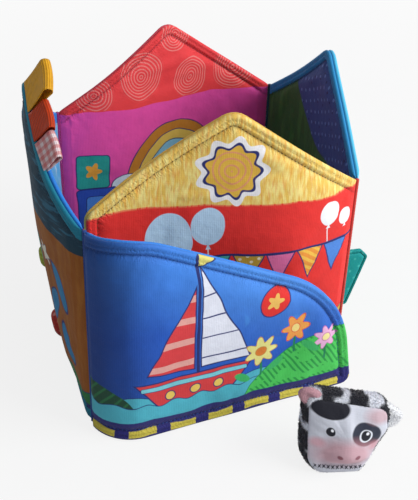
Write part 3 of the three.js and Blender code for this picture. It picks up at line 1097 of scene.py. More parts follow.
class Puffing:
    """One cloth simulation that blows up every padded piece, run in a single pass of frames."""

    FRAMES = 20
    PRESSURE = 4.0
    # The cloth is cut a little wider than its place, so that it wrinkles
    SPARE = -0.03
    # How gently the padding stops a point that would sink in, in millimetres
    SOFT = 0.6

    def __init__(self) -> None:
        """Start with no pieces."""
        self.jobs: list[tuple[Piece, Array, Array, float]] = []

    def add(self, name: str, points: Array, faces: Faces, held: Array, outs: Array, cap: float) -> int:
        """Add a closed piece to the simulation.

        Args:
            name: the piece's name.
            points: its points in millimetres.
            faces: its faces.
            held: whether each point is held by a seam, as 1 or 0.
            outs: the direction that each point may swell in, shorter where it may swell less.
            cap: the furthest that a point may swell.

        Returns:
            The piece's number in what run gives back.
        """
        piece = make_object(f"{name}_puff", points, outward(points, faces))
        group = piece.vertex_groups.new(name="held")
        group.add(np.flatnonzero(held > 0).tolist(), 1.0, "REPLACE")
        self.jobs.append((piece, points, outs, cap))
        return len(self.jobs) - 1

    def run(self) -> list[Array]:
        """Blow the pieces up. A point only swells: the padding keeps it from sinking in.

        Returns:
            How far each point of each piece moved, in millimetres.
        """
        moves = [outs * self.SOFT for _, _, outs, _ in self.jobs]
        for piece, *_ in self.jobs:
            settings = piece.modifiers.new("cloth", "CLOTH").settings
            settings.quality = 3
            settings.vertex_group_mass = "held"
            settings.use_pressure = True
            settings.uniform_pressure_force = self.PRESSURE
            settings.shrink_min = self.SPARE
            settings.bending_stiffness = 0.3
            settings.effector_weights.gravity = 0
        for number in range(1, self.FRAMES + 1):
            bpy.context.scene.frame_set(number)
        graph = bpy.context.evaluated_depsgraph_get()
        for i, (piece, points, outs, cap) in enumerate(self.jobs):
            mesh = piece.evaluated_get(graph).data
            found = np.empty(len(mesh.vertices) * 3, dtype=np.float32)
            mesh.vertices.foreach_get("co", found)
            ways = outs / np.maximum(norm(outs, axis=1, keepdims=True), 1e-6)
            swell = ((found.reshape(-1, 3) / MM - points) * ways).sum(axis=1)
            swell = self.SOFT * np.log1p(np.exp(np.clip(swell / self.SOFT, -30, 30)))
            moves[i] = outs * (cap * np.tanh(swell / cap))[:, None]
            log.info("%s: swell %.2f to %.2f mm", piece.name, swell.min(), swell.max())
        bpy.context.scene.frame_set(1)
        for piece, *_ in self.jobs:
            bpy.data.objects.remove(piece)
        return moves


@dataclass
class PaddedPage:
    """A page or flap: two cloth faces on a bent wall, joined in a rolled rim and topstitched inside it."""

    name: str
    body: str
    wall: Wall
    corners: tuple[Corner, ...]
    folds: tuple[float, ...]
    outer: PrintedCloth
    inner: PrintedCloth
    mirror_outer: float = 0.0
    mirror_inner: float = 0.0
    step: float = 3.0
    inset_scale: float = 1.0
    height_scale: float = 1.0
    taper: float = 9.0
    fold_round: float = 1.0
    thread: str = "#3a3450"
    spots_held: tuple[tuple[float, float, float], ...] = ()
    # Inset and half thickness from the seam between the halves, round the rim and into the padding
    path: tuple[tuple[float, float], ...] = (
        (1.0, 0.15), (0.3, 0.6), (0.0, 1.5), (0.35, 2.5), (1.5, 3.25), (2.8, 3.2), (3.9, 2.5), (5.0, 3.15),
        (6.2, 2.9), (7.4, 1.7), (8.1, 1.15), (8.7, 1.55), (10.0, 2.4), (12.5, 3.1), (15.5, 3.5), (19.0, 3.6),
    )
    stitch_ring: int = 10
    fold_start: float = 1.5
    fold_half: float = 0.5
    cloth: float = 0.8
    rim_gap: float = 0.15
    cap: float = 1.6
    seed: float = 0.0
    slots: tuple[str, str] = ("", "")
    # The page's slight unevenness: its size, its lumps' size and how far from a fold it starts
    stray: float = 1.2
    stray_lump: float = 55.0
    stray_start: float = 30.0
    # The gathers beside the stitches: their height, and from gather to gather at a grid step of 3
    pucker: float = 0.75
    pucker_pitch: float = 7.5

    def __post_init__(self) -> None:
        """Lay out the flat cloth: its rings, its inner points, its triangles and its edge distances."""
        outline = Outline(self.corners, self.step)
        edge, free = outline.points()
        self.path = tuple((inset * self.inset_scale, half * self.height_scale) for inset, half in self.path)
        rings = [outline.points(inset)[0] for inset, _ in self.path]
        self.count, self.rings = len(edge), len(rings)
        last = rings[-1]
        grid = self._grid(last)
        self.flat = np.concatenate([*rings, grid])
        self.fill = self._fill(last, grid)
        self.edge, self.run = to_edges(self.flat, edge, free)
        away = np.min([np.abs(self.flat[:, 0] - fold) for fold in self.folds], axis=0)
        insets = np.array([inset for inset, _ in self.path[2:]])
        halves = np.array([half for _, half in self.path[2:]])
        half = np.interp(self.edge, insets, halves)
        for ring in range(self.stitch_ring + 1):
            rows = slice(ring * self.count, (ring + 1) * self.count)
            near = self.edge[rows] < self.path[ring][0] + 0.4
            half[rows] = np.where(near, self.path[ring][1], half[rows])
            if ring < 2:
                half[rows] = np.minimum(half[rows], self.path[ring][1])
        rounded = np.sin(np.clip((away - self.fold_start) / self.taper, 0, 1) * pi / 2) ** self.fold_round
        fold = self.fold_half + (self.path[-1][1] - self.fold_half) * rounded
        self.half = np.minimum(half, fold)
        self.fold_away = away

    def _grid(self, last: Array) -> Array:
        """Give a triangular grid of points inside the last ring.

        Args:
            last: the ring's points.

        Returns:
            The grid's points.
        """
        low, high = last.min(axis=0), last.max(axis=0)
        rows = np.arange(low[1], high[1], self.step * sqrt(3) / 2)
        spots = [
            (x, y) for i, y in enumerate(rows)
            for x in np.arange(low[0] + (i % 2) * self.step / 2, high[0], self.step)
        ]
        spots = np.array(spots).reshape(-1, 2)
        ends = np.roll(last, -1, axis=0)
        along = ends - last
        along = along / norm(along, axis=1, keepdims=True)
        depth = np.einsum("psk,sk->ps", spots[:, None] - last[None], left_of(along)).min(axis=1)
        return spots[depth > 0.55 * self.step]

    def _fill(self, last: Array, grid: Array) -> Faces:
        """Give the triangles inside the last ring, as indices into the flat cloth.

        Args:
            last: the ring's points.
            grid: the points inside it.

        Returns:
            The triangles.
        """
        spots = [Vector(spot) for spot in np.concatenate([last, grid])]
        _, _, faces, origins, _, _ = delaunay_2d_cdt(spots, [], [list(range(self.count))], 1, 1e-5)
        start = (self.rings - 1) * self.count
        return [tuple(start + origins[corner][0] for corner in face) for face in faces]

    def place(self, flat: Array, offset: Array) -> Array:
        """Put flat places on the wall, each at an offset outward from its middle, in millimetres."""
        spot, side = self.wall.at(flat)
        return np.concatenate([spot + side * offset[:, None], flat[:, 1:]], axis=1)

    def _loose(self) -> Array:
        """Give how freely each place of the page moves, from 0 where something is sewn on it to 1.

        Returns:
            A share for each place.
        """
        loose = np.ones(len(self.flat))
        for x, y, reach in self.spots_held:
            loose *= np.clip(np.hypot(self.flat[:, 0] - x, self.flat[:, 1] - y) / reach * 2 - 2, 0, 1)
        return loose

    def unevenness(self) -> Array:
        """Give the slight unevenness of a soft page, which its folds don't have."""
        calm = np.clip(self.fold_away / self.stray_start, 0, 1) * self._loose()
        return waves(self.flat, self.stray_lump, self.seed) * calm * self.stray * self.height_scale

    def puff(self, puffing: Puffing) -> None:
        """Give the envelope inside the stitch line to the simulation.

        Args:
            puffing: the simulation of all padded pieces.
        """
        start = self.stitch_ring * self.count
        flat, half = self.flat[start:], self.half[start:]
        size = len(flat)
        halves = [self.place(flat, side * half + self.unevenness()[start:]) for side in (1, -1)]
        kept = self.rings - self.stitch_ring
        quads = tube(self.count, kept)
        fill = [tuple(corner - start for corner in face) for face in self.fill]
        top = quads + fill
        faces = [*top, *flipped(top, size), *band(size, 0, self.count)]
        held = np.zeros(size)
        held[: self.count] = 1
        held[self.edge[start:] < self.path[self.stitch_ring][0] + 0.2] = 1
        held[self.fold_away[start:] < self.fold_start + 0.5 * self.taper] = 1
        free = np.clip((self.edge[start:] - self.path[self.stitch_ring][0]) / (7 * self.inset_scale), 0, 1)
        free = free * np.clip((self.fold_away[start:] - self.fold_start) / self.taper - 0.4, 0, 1)
        outer_free = free * self._loose()[start:]
        sides = np.pad(self.wall.at(flat)[1], ((0, 0), (0, 1)))
        outs = np.concatenate([sides * outer_free[:, None], -sides * free[:, None]])
        self.job = puffing.add(self.name, np.concatenate(halves), faces, np.tile(held, 2), outs, self.cap)

    def _pucker(self) -> Array:
        """Give the gathers beside the stitch line, drawn in by the thread.

        Returns:
            How far each place rises, in millimetres.
        """
        stitch = self.path[self.stitch_ring][0]
        past = (self.edge - stitch) / self.inset_scale
        reach = np.where(past > 0, np.exp(-((past - 2.2) / 3.2) ** 2), 0.55 * np.exp(-((past + 3) / 2.4) ** 2))
        lay = np.stack([self.run, np.zeros_like(self.run)], axis=1)
        turn = 2 * pi * self.run / (self.pucker_pitch * self.step / 3) + 5 * waves(lay, 28, self.seed + 9)
        strength = 0.35 + 0.65 * np.abs(waves(lay, 40, self.seed + 21))
        calm = np.clip((self.fold_away - self.fold_start) / 8, 0, 1)
        return np.sin(turn) * reach * strength * calm * self.pucker * self.height_scale

    def _face(self, outer: bool, move: Array) -> None:
        """Make one cloth face as a closed shell, with turned-in cloth in its rim.

        Args:
            outer: whether it is the outer face.
            move: how the simulation moved its points inside the stitch line.
        """
        side = 1 if outer else -1
        start = self.stitch_ring * self.count
        stray = self.unevenness()
        shape = np.maximum(self.half + self._pucker(), self.rim_gap)
        shape[: 3 * self.count] = self.half[: 3 * self.count]
        surface = self.place(self.flat, side * shape + stray)
        surface[start:] += move
        deep = self.edge[start:] > self.path[self.stitch_ring][0] + 0.3
        depth = np.where(deep, np.maximum(shape[start:] - self.cloth, self.rim_gap), self.rim_gap)
        lining = self.place(self.flat[start:], side * depth + stray[start:]) + move
        points = np.concatenate([surface, lining])
        points[:, 2] = np.maximum(points[:, 2], 0)
        size = len(surface)
        top = tube(self.count, self.rings) + self.fill
        under = flipped([face for face in top if min(face) >= start], size - start)
        faces = [*top, *under, *band(size, 0, self.count)]
        mirror = self.mirror_outer if outer else self.mirror_inner
        chart = np.concatenate([self.flat, self.flat[start:]])
        if mirror:
            chart = np.stack([mirror - chart[:, 0], chart[:, 1]], axis=1)
        edge = np.concatenate([self.edge, self.edge[start:]]) / self.inset_scale
        name = f"{self.name}_{'outer' if outer else 'inner'}_face"
        run = np.concatenate([self.run, self.run[start:]])
        piece = make_object(f"{name}_cloth", points, outward(points, faces), chart, {EDGE: edge, RUN: run})
        cloth, slot = (self.outer, self.slots[0]) if outer else (self.inner, self.slots[1])
        settle(piece, self.body, slot, name, cloth)

    def dress(self, moves: list[Array]) -> None:
        """Make both faces and the topstitching.

        Args:
            moves: what the simulation gave for every piece.
        """
        for outer, move in zip((True, False), np.split(moves[self.job], 2)):
            self._face(outer, move)
        Topstitching(self).dress()


@dataclass
class Topstitching:
    """The row of stitches inside a page's rolled rim, on both of its faces."""

    page: PaddedPage
    spacing: float = 2.9
    long: float = 1.8
    thick: float = 0.55

    def dress(self) -> None:
        """Lay the stitches in their groove."""
        page = self.page
        start = page.stitch_ring * page.count
        ring = slice(start, start + page.count)
        flat, half, stray = page.flat[ring], page.half[ring], page.unevenness()[ring]
        kept = page.edge[ring] < page.path[page.stitch_ring][0] + 0.3
        points, edges = [], []
        for side in (1, -1):
            first = len(points)
            points += list(page.place(flat, side * (half + 0.25 * page.height_scale) + stray))
            edges += [
                (first + i, first + (i + 1) % page.count) for i in range(page.count)
                if kept[i] and kept[(i + 1) % page.count]
            ]
        runs = make_object(f"{page.name}_topstitching", np.array(points), [], edges=edges)
        scale = page.height_scale
        sew(runs, page.thread, page.body, self.spacing * scale, self.long * scale, self.thick * scale)


class Scatter:
    """A Geometry Nodes tree that stands small shapes at points of a piece."""

    def __init__(self, name: str, numbers: tuple[str, ...], ways: tuple[str, ...] = ()) -> None:
        """Start the tree.

        Args:
            name: its name.
            numbers: the names of the numbers that it takes in after the piece's geometry.
            ways: the names of the directions that it takes in.
        """
        self.tree = bpy.data.node_groups.new(name, "GeometryNodeTree")
        kinds = {"Geometry": "Geometry", **dict.fromkeys(numbers, "Float"), **dict.fromkeys(ways, "Vector")}
        for label, kind in kinds.items():
            self.tree.interface.new_socket(label, in_out="INPUT", socket_type=f"NodeSocket{kind}")
        self.tree.interface.new_socket("Geometry", in_out="OUTPUT", socket_type="NodeSocketGeometry")
        self.given = add(self.tree, "NodeGroupInput").node.outputs

    def stand(self, spots: Socket, shape: Socket, lay: Socket, size: Socket, material: Material) -> None:
        """Stand a shape at each spot and end the tree.

        Args:
            spots: the points.
            shape: the shape, along Z.
            lay: the direction that it stands along.
            size: its size on each axis.
            material: its material.
        """
        tree = self.tree
        turn = add(tree, "FunctionNodeAlignRotationToVector", {"Vector": lay}, axis="Z")
        placed = add(tree, "GeometryNodeInstanceOnPoints", {
            "Points": spots, "Instance": shape, "Rotation": turn, "Scale": size,
        })
        plain = add(tree, "GeometryNodeRealizeInstances", (placed,))
        # The floor flattens what would hang below it
        lifted = add(tree, "VectorMath.MAXIMUM", (add(tree, "GeometryNodeInputPosition"), (-9, -9, 0)))
        plain = add(tree, "GeometryNodeSetPosition", {"Geometry": plain, "Position": lifted})
        done = add(tree, "GeometryNodeSetMaterial", {"Geometry": plain, "Material": material})
        tree.links.new(done, tree.nodes.new("NodeGroupOutput").inputs[0])

    def bake(self, piece: Piece, values: dict[str, object]) -> None:
        """Run the tree on a piece and keep its result as a plain mesh.

        Args:
            piece: the piece, whose mesh the tree takes in.
            values: the tree's inputs by name.
        """
        modifier = piece.modifiers.new(self.tree.name, "NODES")
        modifier.node_group = self.tree
        for item in self.tree.interface.items_tree:
            if item.in_out == "INPUT" and item.name in values:
                modifier[item.identifier] = values[item.name]
        graph = bpy.context.evaluated_depsgraph_get()
        done = piece.evaluated_get(graph)
        mesh = bpy.data.meshes.new_from_object(done, preserve_all_data_layers=True, depsgraph=graph)
        piece.modifiers.clear()
        piece.data = mesh


def sew(
    runs: Piece, colour: str, body: str, spacing: float, long: float, thick: float,
    turn: float = 0.0, facing: tuple[float, float, float] = (0.0, 0.0, 1.0),
) -> None:
    """Turn runs of edges into rows of stitches.

    Args:
        runs: an object of loose edges.
        colour: the thread's colour.
        body: the body that the stitches ride on.
        spacing: from stitch to stitch, in millimetres.
        long: a stitch's length.
        thick: a stitch's thickness.
        turn: how far each stitch is turned from the run, in radians.
        facing: the direction that it is turned about.
    """
    scatter = Scatter(f"{runs.name}_nodes", ("Spacing", "Long", "Thick", "Turn"), ("Facing",))
    tree, given = scatter.tree, scatter.given
    curve = add(tree, "GeometryNodeMeshToCurve", (given["Geometry"],))
    curve = add(tree, "GeometryNodeResampleCurve", {"Curve": curve, "Length": given["Spacing"]}, mode="LENGTH")
    spots = add(tree, "GeometryNodeCurveToPoints", {"Curve": curve}, mode="EVALUATED").node.outputs
    lay = add(tree, "VectorRotate", {
        "Vector": spots["Tangent"], "Axis": given["Facing"], "Angle": given["Turn"],
    }, rotation_type="AXIS_ANGLE")
    size = add(tree, "CombineXYZ", (given["Thick"], given["Thick"], given["Long"]))
    ball = add(tree, "GeometryNodeMeshIcoSphere", {"Radius": 0.5, "Subdivisions": 1})
    ball = add(tree, "GeometryNodeSetShadeSmooth", (ball,))
    thread = Thread(f"{runs.name}_polyester_thread", colour).material()
    scatter.stand(spots["Points"], ball, lay, size, thread)
    scatter.bake(runs, {
        "Spacing": spacing * MM, "Long": long * MM, "Thick": thick * MM, "Turn": turn, "Facing": facing,
    })
    settle(runs, body, "fold_stitching")


def shell(points: Array, faces: Faces, normals: Array, depth: float) -> tuple[Array, list, Array]:
    """Give a patch of a surface a thickness.

    Args:
        points: the whole surface's points.
        faces: the patch's faces.
        normals: the outward normal at each point.
        depth: the thickness, laid inward.

    Returns:
        The closed shell's points and faces, and the surface point that each of its points comes from.
    """
    used = sorted({corner for face in faces for corner in face})
    number = {corner: i for i, corner in enumerate(used)}
    top = [tuple(number[corner] for corner in face) for face in faces]
    size = len(used)
    sides = {(a, b) for face in top for a, b in zip(face, face[1:] + face[:1])}
    rim = [(b, a, a + size, b + size) for a, b in sides if (b, a) not in sides]
    inner = points[used] - normals[used] * depth
    return np.concatenate([points[used], inner]), top + flipped(top, size) + rim, np.array(used + used)


def normals_of(points: Array, faces: Faces) -> Array:
    """Give the outward normal at each point of a closed mesh with outward faces.

    Args:
        points: the mesh's points.
        faces: its faces.

    Returns:
        A unit normal for each point.
    """
    sums = np.zeros_like(points)
    for size in {len(face) for face in faces}:
        some = np.array([face for face in faces if len(face) == size])
        across = points[some[:, size // 2]] - points[some[:, 0]]
        other = points[some[:, -1]] - points[some[:, 1]] if size == 4 else points[some[:, -1]] - points[some[:, 0]]
        normal = np.cross(across, other)
        for column in range(size):
            np.add.at(sums, some[:, column], normal)
    return sums / np.maximum(norm(sums, axis=1, keepdims=True), 1e-9)


@dataclass(frozen=True)
class FoldSeam:
    """The tight roll of overcast thread and cloth where two pages meet."""

    node: str
    body: str
    cloth: PrintedCloth
    radius: float = 1.42
    ridge: float = 0.12
    pitch: float = 2.6
    sides: int = 12

    def dress(self) -> None:
        """Make the seam."""
        low, high = (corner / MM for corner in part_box(self.node))
        centre = (low + high) / 2
        heights = np.arange(low.z, high.z, 0.75)
        heights[-1] = high.z
        angles = np.arange(self.sides) / self.sides * 2 * pi
        points = []
        for z in heights:
            ridge = np.abs(np.sin(pi * z / self.pitch + angles / 2)) * self.ridge
            reach = self.radius + ridge
            points += [(centre.x + r * cos(a), centre.y + r * sin(a), z) for r, a in zip(reach, angles)]
        faces = tube(self.sides, len(heights), True)
        points = np.array([*points, (centre.x, centre.y, heights[0]), (centre.x, centre.y, heights[-1])])
        round_seam = np.arctan2(points[:, 1] - centre.y, points[:, 0] - centre.x) * self.radius + 20
        chart = np.stack([round_seam, points[:, 2]], axis=1)
        far = np.full(len(points), 40.0)
        values = {EDGE: far, RUN: points[:, 2]}
        piece = make_object(f"{self.node}_overcast", points, outward(points, faces), chart, values)
        settle(piece, self.body, "fold_stitching", self.node, self.cloth)


@dataclass(frozen=True)
class RibbonTag:
    """A ribbon folded in a loop and caught in the left page's gable seam."""

    name: str
    slot: str
    finish: Ribbon
    start: float
    width: float
    height: float
    lean: float
    flare: float = 2.6
    thickness: float = 0.6
    root: float = 2.5
    gap: float = 1.4
    lift_gap: float = 1.8
    columns: int = 15

    def _frame(self, wall: Wall, width: float, eave: float, rise: float) -> tuple[Array, Array, Array, Array]:
        """Give the low end of the ribbon's root and its outward, upward and widthways directions.

        Args:
            wall: the wall of the page that it is sewn to.
            width: the page's width.
            eave: the height of its eaves.
            rise: how far its gable rises.

        Returns:
            The low end and the three directions.
        """
        middle, slope = width / 2, atan2(rise, width / 2)
        ends = [
            (middle - down * cos(slope), eave + rise - down * sin(slope))
            for down in (self.start, self.start + self.width)
        ]
        ends = np.array([*ends, np.mean(ends, axis=0)])
        spots, sides = wall.at(ends)
        high, low = (np.array([*spots[i], ends[i, 1]]) for i in range(2))
        widthways = (high - low) / norm(high - low)
        out = np.array([*sides[2], 0.0])
        out = out - widthways * (out @ widthways)
        out = out / norm(out)
        up = np.cross(widthways, out)
        turn = np.array(Matrix.Rotation(radians(self.lean), 3, Vector(widthways)))
        return low, turn @ out, turn @ up, widthways

    def _loop(self) -> Array:
        """Give the ribbon's path in its outward and upward directions, one root to the other.

        Returns:
            The path's points.
        """
        top = self.height - self.flare
        heights = np.linspace(-self.root, top, 14)
        share = np.clip(heights / top, 0, 1)
        reach = self.gap + (self.flare - self.gap) * share**1.6
        arc = np.linspace(0, pi, 13)[1:-1]
        return np.concatenate([
            np.stack([reach, heights], axis=1),
            np.stack([np.cos(arc), np.sin(arc)], axis=1) * self.flare + (0, top),
            np.stack([-reach, heights], axis=1)[::-1],
        ])

    def dress(self, page: PaddedPage, eave: float, rise: float) -> None:
        """Make the ribbon.

        Args:
            page: the page that it is sewn to.
            eave: the height of the page's eaves.
            rise: how far its gable rises.
        """
        low, out, up, widthways = self._frame(page.wall, page.wall.width, eave, rise)
        path = self._loop()
        steps = norm(np.diff(path, axis=0), axis=1)
        run = np.concatenate([[0.0], np.cumsum(steps)])
        tangent = np.gradient(path, axis=0)
        tangent /= norm(tangent, axis=1, keepdims=True)
        normal = left_of(tangent)
        lift = self.lift_gap * sin(radians(self.lean)) + 0.3
        layers, charts = [], []
        for side in (-0.5, 0.5):
            for column in range(self.columns):
                share = column / (self.columns - 1)
                bend = 0.7 * sin(3.1 * share + self.start) + 0.9 * (2 * share - 1) ** 2
                line = path + normal * side * self.thickness
                line = line + np.stack([bend * np.clip(path[:, 1] / self.height, 0, 1), np.zeros(len(path))], axis=1)
                place = low + widthways * share * self.width + up * lift
                layers.append(place + np.outer(line[:, 0], out) + np.outer(line[:, 1], up))
                charts.append(np.stack([np.full(len(path), share * self.width), run], axis=1))
        points, chart = np.concatenate(layers), np.concatenate(charts)
        count, size = len(path), self.columns * len(path)
        grid = [
            (c * count + i, c * count + i + 1, (c + 1) * count + i + 1, (c + 1) * count + i)
            for c in range(self.columns - 1) for i in range(count - 1)
        ]
        rim = [c * count for c in range(self.columns)]
        rim += [(self.columns - 1) * count + i for i in range(1, count)]
        rim += [c * count + count - 1 for c in range(self.columns - 2, -1, -1)]
        rim += range(count - 2, 0, -1)
        edge = [(a, b, b + size, a + size) for a, b in zip(rim, rim[1:] + rim[:1])]
        faces = [*grid, *flipped(grid, size), *edge]
        piece = make_object(f"{self.name}_woven", points, outward(points, faces), chart)
        settle(piece, page.body, self.slot, self.name, self.finish)


@dataclass
class Patch:
    """A small padded patch sewn on the left page's outer face."""

    name: str
    slot: str
    cloth: PrintedCloth
    along: float
    height: float
    width: float
    tall: float
    depth: float
    seat: float = 3.9
    sides: int = 44
    # Reach and rise shares from the patch's underside over its sewn rim to its crown
    profile: tuple[tuple[float, float], ...] = (
        (1.0, 0.0), (1.02, 0.14), (0.99, 0.28), (0.94, 0.34), (0.9, 0.26), (0.86, 0.36), (0.78, 0.58),
        (0.66, 0.78), (0.5, 0.92), (0.32, 0.98), (0.16, 1.0),
    )

    def lay_out(self, page: PaddedPage, puffing: Puffing) -> None:
        """Lay the patch on its page and give it to the simulation.

        Args:
            page: the page that it is sewn to.
            puffing: the simulation of all padded pieces.
        """
        angles = np.arange(self.sides) / self.sides * 2 * pi
        flat, offset = [], []
        for reach, share in self.profile:
            ring = np.stack([np.cos(angles) * self.width, np.sin(angles) * self.tall], axis=1) * reach / 2
            flat.append(ring + (self.along, self.height))
            offset += [self.seat + share * self.depth] * self.sides
        flat = np.concatenate([*flat, [[self.along, self.height]] * 2])
        offset = np.array([*offset, self.seat, self.seat + self.depth])
        faces = tube(self.sides, len(self.profile), True)
        self.flat, self.faces, self.body = flat, faces, page.body
        self.points = page.place(flat, offset)
        held = np.zeros(len(flat))
        held[: 5 * self.sides] = 1
        held[-2] = 1
        outs = np.pad(page.wall.at(flat)[1], ((0, 0), (0, 1))) * (1 - held[:, None])
        self.job = puffing.add(self.name, self.points, faces, held, outs, 0.8)

    def dress(self, moves: list[Array]) -> None:
        """Make the patch.

        Args:
            moves: what the simulation gave for every piece.
        """
        points = self.points + moves[self.job]
        share = np.hypot((self.flat[:, 0] - self.along) / self.width, (self.flat[:, 1] - self.height) / self.tall) * 2
        edge = (1 - share) * self.width / 2 * 4
        angle = np.arctan2(self.flat[:, 1] - self.height, self.flat[:, 0] - self.along) * self.width / 2
        values = {EDGE: edge, RUN: angle}
        piece = make_object(f"{self.name}_cloth", points, outward(points, self.faces), self.flat, values)
        settle(piece, self.body, self.slot, self.name, self.cloth)


@dataclass
class CowToy:
    """The stuffed cow: a printed front and back panel on a band of short plush, and two ears."""

    origin: Array
    face: PrintedCloth
    back: PrintedCloth
    plush: Plush
    turn: float = -17.5
    height: float = 55.0
    foot_depth: float = 26.0
    top_depth: float = 14.0
    front_lean: float = 11.0
    crown: float = 5.0
    bulge: float = 2.5
    cloth: float = 0.9
    body: str = "cow_toy"
    chart_shift: float = 60.0
    ear_forward: float = 3.0
    # The plush band's pile: its tufts to the square metre, their length and width, and how far they lean
    tufts: float = 1.1e6
    pile: float = 1.2
    tuft_width: float = 0.55
    pile_lean: float = 0.9
    outline: Outline = Outline((
        Corner(-27, -0.5, 15), Corner(9, -0.5, 6), Corner(25, 31, 14), Corner(24.5, 44.5, 6), Corner(-28, 55, 6),
    ), 1.7)
    # Place, width, height and rise of each swelling or crease of the face
    snout: tuple[tuple[float, ...], ...] = (
        (-3.0, 18.0, 11.0, 7.0, 6.0), (-4.0, 8.5, 12.0, 3.2, -3.2), (-17.0, 13.0, 4.0, 7.0, -1.8),
        (-2.0, 34.0, 5.0, 9.0, 1.4), (13.0, 22.0, 4.0, 7.0, -1.2),
    )
    cap_rows: tuple[float, ...] = (0.1, 0.2, 0.3, 0.4, 0.5, 0.6, 0.7, 0.79, 0.87, 0.93, 0.97, 1.0)
    band_rows: tuple[float, ...] = (0.05, 0.14, 0.25, 0.38, 0.5, 0.62, 0.75, 0.86, 0.95)

    def _loop(self, depth: float, reach: float, bulge: float, rise: float) -> Array:
        """Give a loop round the cow: at a share of its depth, at a share of its outline.

        Args:
            depth: the share of the depth, from 0 in front.
            reach: the share of the outline.
            bulge: how far it lies outside the outline.
            rise: how far it is moved back.

        Returns:
            The loop's points in the cow's own frame.
        """
        points, _ = self.outline.points(-bulge)
        centre = np.array([0.0, self.height / 2])
        points = (points - centre) * reach + centre
        height = np.maximum(points[:, 1], 0)
        climbed = height / self.height
        front = -self.foot_depth / 2 + self.front_lean * climbed
        thick = self.foot_depth + (self.top_depth - self.foot_depth) * climbed
        return np.stack([points[:, 0], front + thick * depth + rise, height], axis=1)

    def _crown(self, reach: float) -> float:
        """Give how far a panel swells at a share of its outline."""
        return self.crown * (1 - reach**2.4) + self.cloth * sqrt(max(1 - reach**8, 0.0))

    def placed(self, points: Array) -> Array:
        """Put points of the cow's own frame in the row's frame.

        Args:
            points: the points in the cow's own frame.

        Returns:
            The same points in the row's frame.
        """
        angle = radians(self.turn)
        x, y = points[:, 0], points[:, 1]
        return np.stack([
            self.origin[0] + x * cos(angle) - y * sin(angle),
            self.origin[1] + x * sin(angle) + y * cos(angle), points[:, 2],
        ], axis=1)

    def lay_out(self, puffing: Puffing) -> None:
        """Build the cow's closed body and give it to the simulation.

        Args:
            puffing: the simulation of all padded pieces.
        """
        fronts = [self._loop(0, reach, 0, -self._crown(reach)) for reach in self.cap_rows]
        bands = [self._loop(share, 1, self.bulge * 4 * share * (1 - share), 0) for share in self.band_rows]
        backs = [self._loop(1, reach, 0, self._crown(reach)) for reach in self.cap_rows[::-1]]
        loops = [*fronts, *bands, *backs]
        count = len(loops[0])
        ends = [loops[0].mean(axis=0), loops[-1].mean(axis=0)]
        ends[0][1] = self._loop(0, 0.01, 0, -self._crown(0))[:, 1].mean()
        ends[1][1] = self._loop(1, 0.01, 0, self._crown(0))[:, 1].mean()
        self.own = np.concatenate([*loops, ends])
        loose = np.zeros(len(self.own))
        loose[: len(fronts) * count] = np.repeat(1 - np.array(self.cap_rows) ** 4, count)
        loose[-2] = 1
        for x, z, wide, tall, rise in self.snout:
            swell = np.exp(-(((self.own[:, 0] - x) / wide) ** 2) - ((self.own[:, 2] - z) / tall) ** 2)
            self.own[:, 1] -= swell * rise * loose
        size, last = len(loops) * count, (len(loops) - 1) * count
        quads = [band(ring * count, (ring + 1) * count, count) for ring in range(len(loops) - 1)]
        caps = len(self.cap_rows)
        # The front panel, the band and the back panel
        self.groups = [
            [(size, (i + 1) % count, i) for i in range(count)] + sum(quads[: caps - 1], []),
            sum(quads[caps - 1 : caps + len(bands)], []),
            sum(quads[caps + len(bands) :], []) + [(size + 1, last + i, last + (i + 1) % count) for i in range(count)],
        ]
        line, _ = self.outline.points()
        steps = norm(np.roll(line, -1, axis=0) - line, axis=1)
        run = np.concatenate([[0.0], np.cumsum(steps)[:-1]])
        self.run = np.concatenate([np.tile(run, len(loops)), [0.0, 0.0]])
        faces = sum(self.groups, [])
        turned = outward(self.own, faces)
        if turned is not faces:
            self.groups = [flipped(group) for group in self.groups]
        held = (self.own[:, 2] < 0.8).astype(float)
        for ring in (caps - 1, caps + len(bands)):
            held[ring * count : (ring + 1) * count] = 1
        placed = self.placed(self.own)
        outs = normals_of(placed, turned) * np.clip(self.own[:, 2:] / 8, 0, 1) * (1 - held[:, None])
        self.job = puffing.add("cow_body", placed, turned, held, outs, 2.2)

    def dress(self, moves: list[Array]) -> None:
        """Make the cow's panels, band, ears, plush and whip stitches.

        Args:
            moves: what the simulation gave for every piece.
        """
        points = self.placed(self.own) + moves[self.job]
        lumps = waves(self.own[:, [0, 2]], 17, 4.0) * np.clip(self.own[:, 2] / 12, 0, 1)
        normals = normals_of(points, sum(self.groups, []))
        points = points + normals * lumps[:, None] * 0.9
        points[:, 2] = np.maximum(points[:, 2], 0)
        front_chart = np.stack([self.own[:, 0] + self.chart_shift, self.own[:, 2]], axis=1)
        back_chart = np.stack([self.chart_shift - self.own[:, 0], self.own[:, 2]], axis=1)
        band_chart = np.stack([self.run, self.own[:, 1] + self.foot_depth], axis=1)
        edge, _ = to_edges(self.own[:, [0, 2]], *self.outline.points())
        dark = self.plush.bands(band_chart)
        front, gusset, back = self.groups
        for node, group, chart, finish, slot in (
            ("toy_front_panel", front, front_chart, self.face, "toy_cloth"),
            ("toy_back_panel", back, back_chart, self.back, "toy_cloth"),
            ("toy_gusset", gusset, band_chart, self.plush, "toy_fluff"),
        ):
            own, closed, source = shell(points, group, normals, self.cloth)
            own[:, 2] = np.maximum(own[:, 2], 0)
            values = {EDGE: edge[source] + 12, RUN: self.run[source], DARK: dark[source]}
            piece = make_object(f"{node}_cloth", own, closed, chart[source], values)
            settle(piece, self.body, slot, node, finish)
            if node == "toy_gusset":
                self._tufts(piece, "toy_plush_pile", self.plush)
        self._whip_stitch(points)
        self._ears()

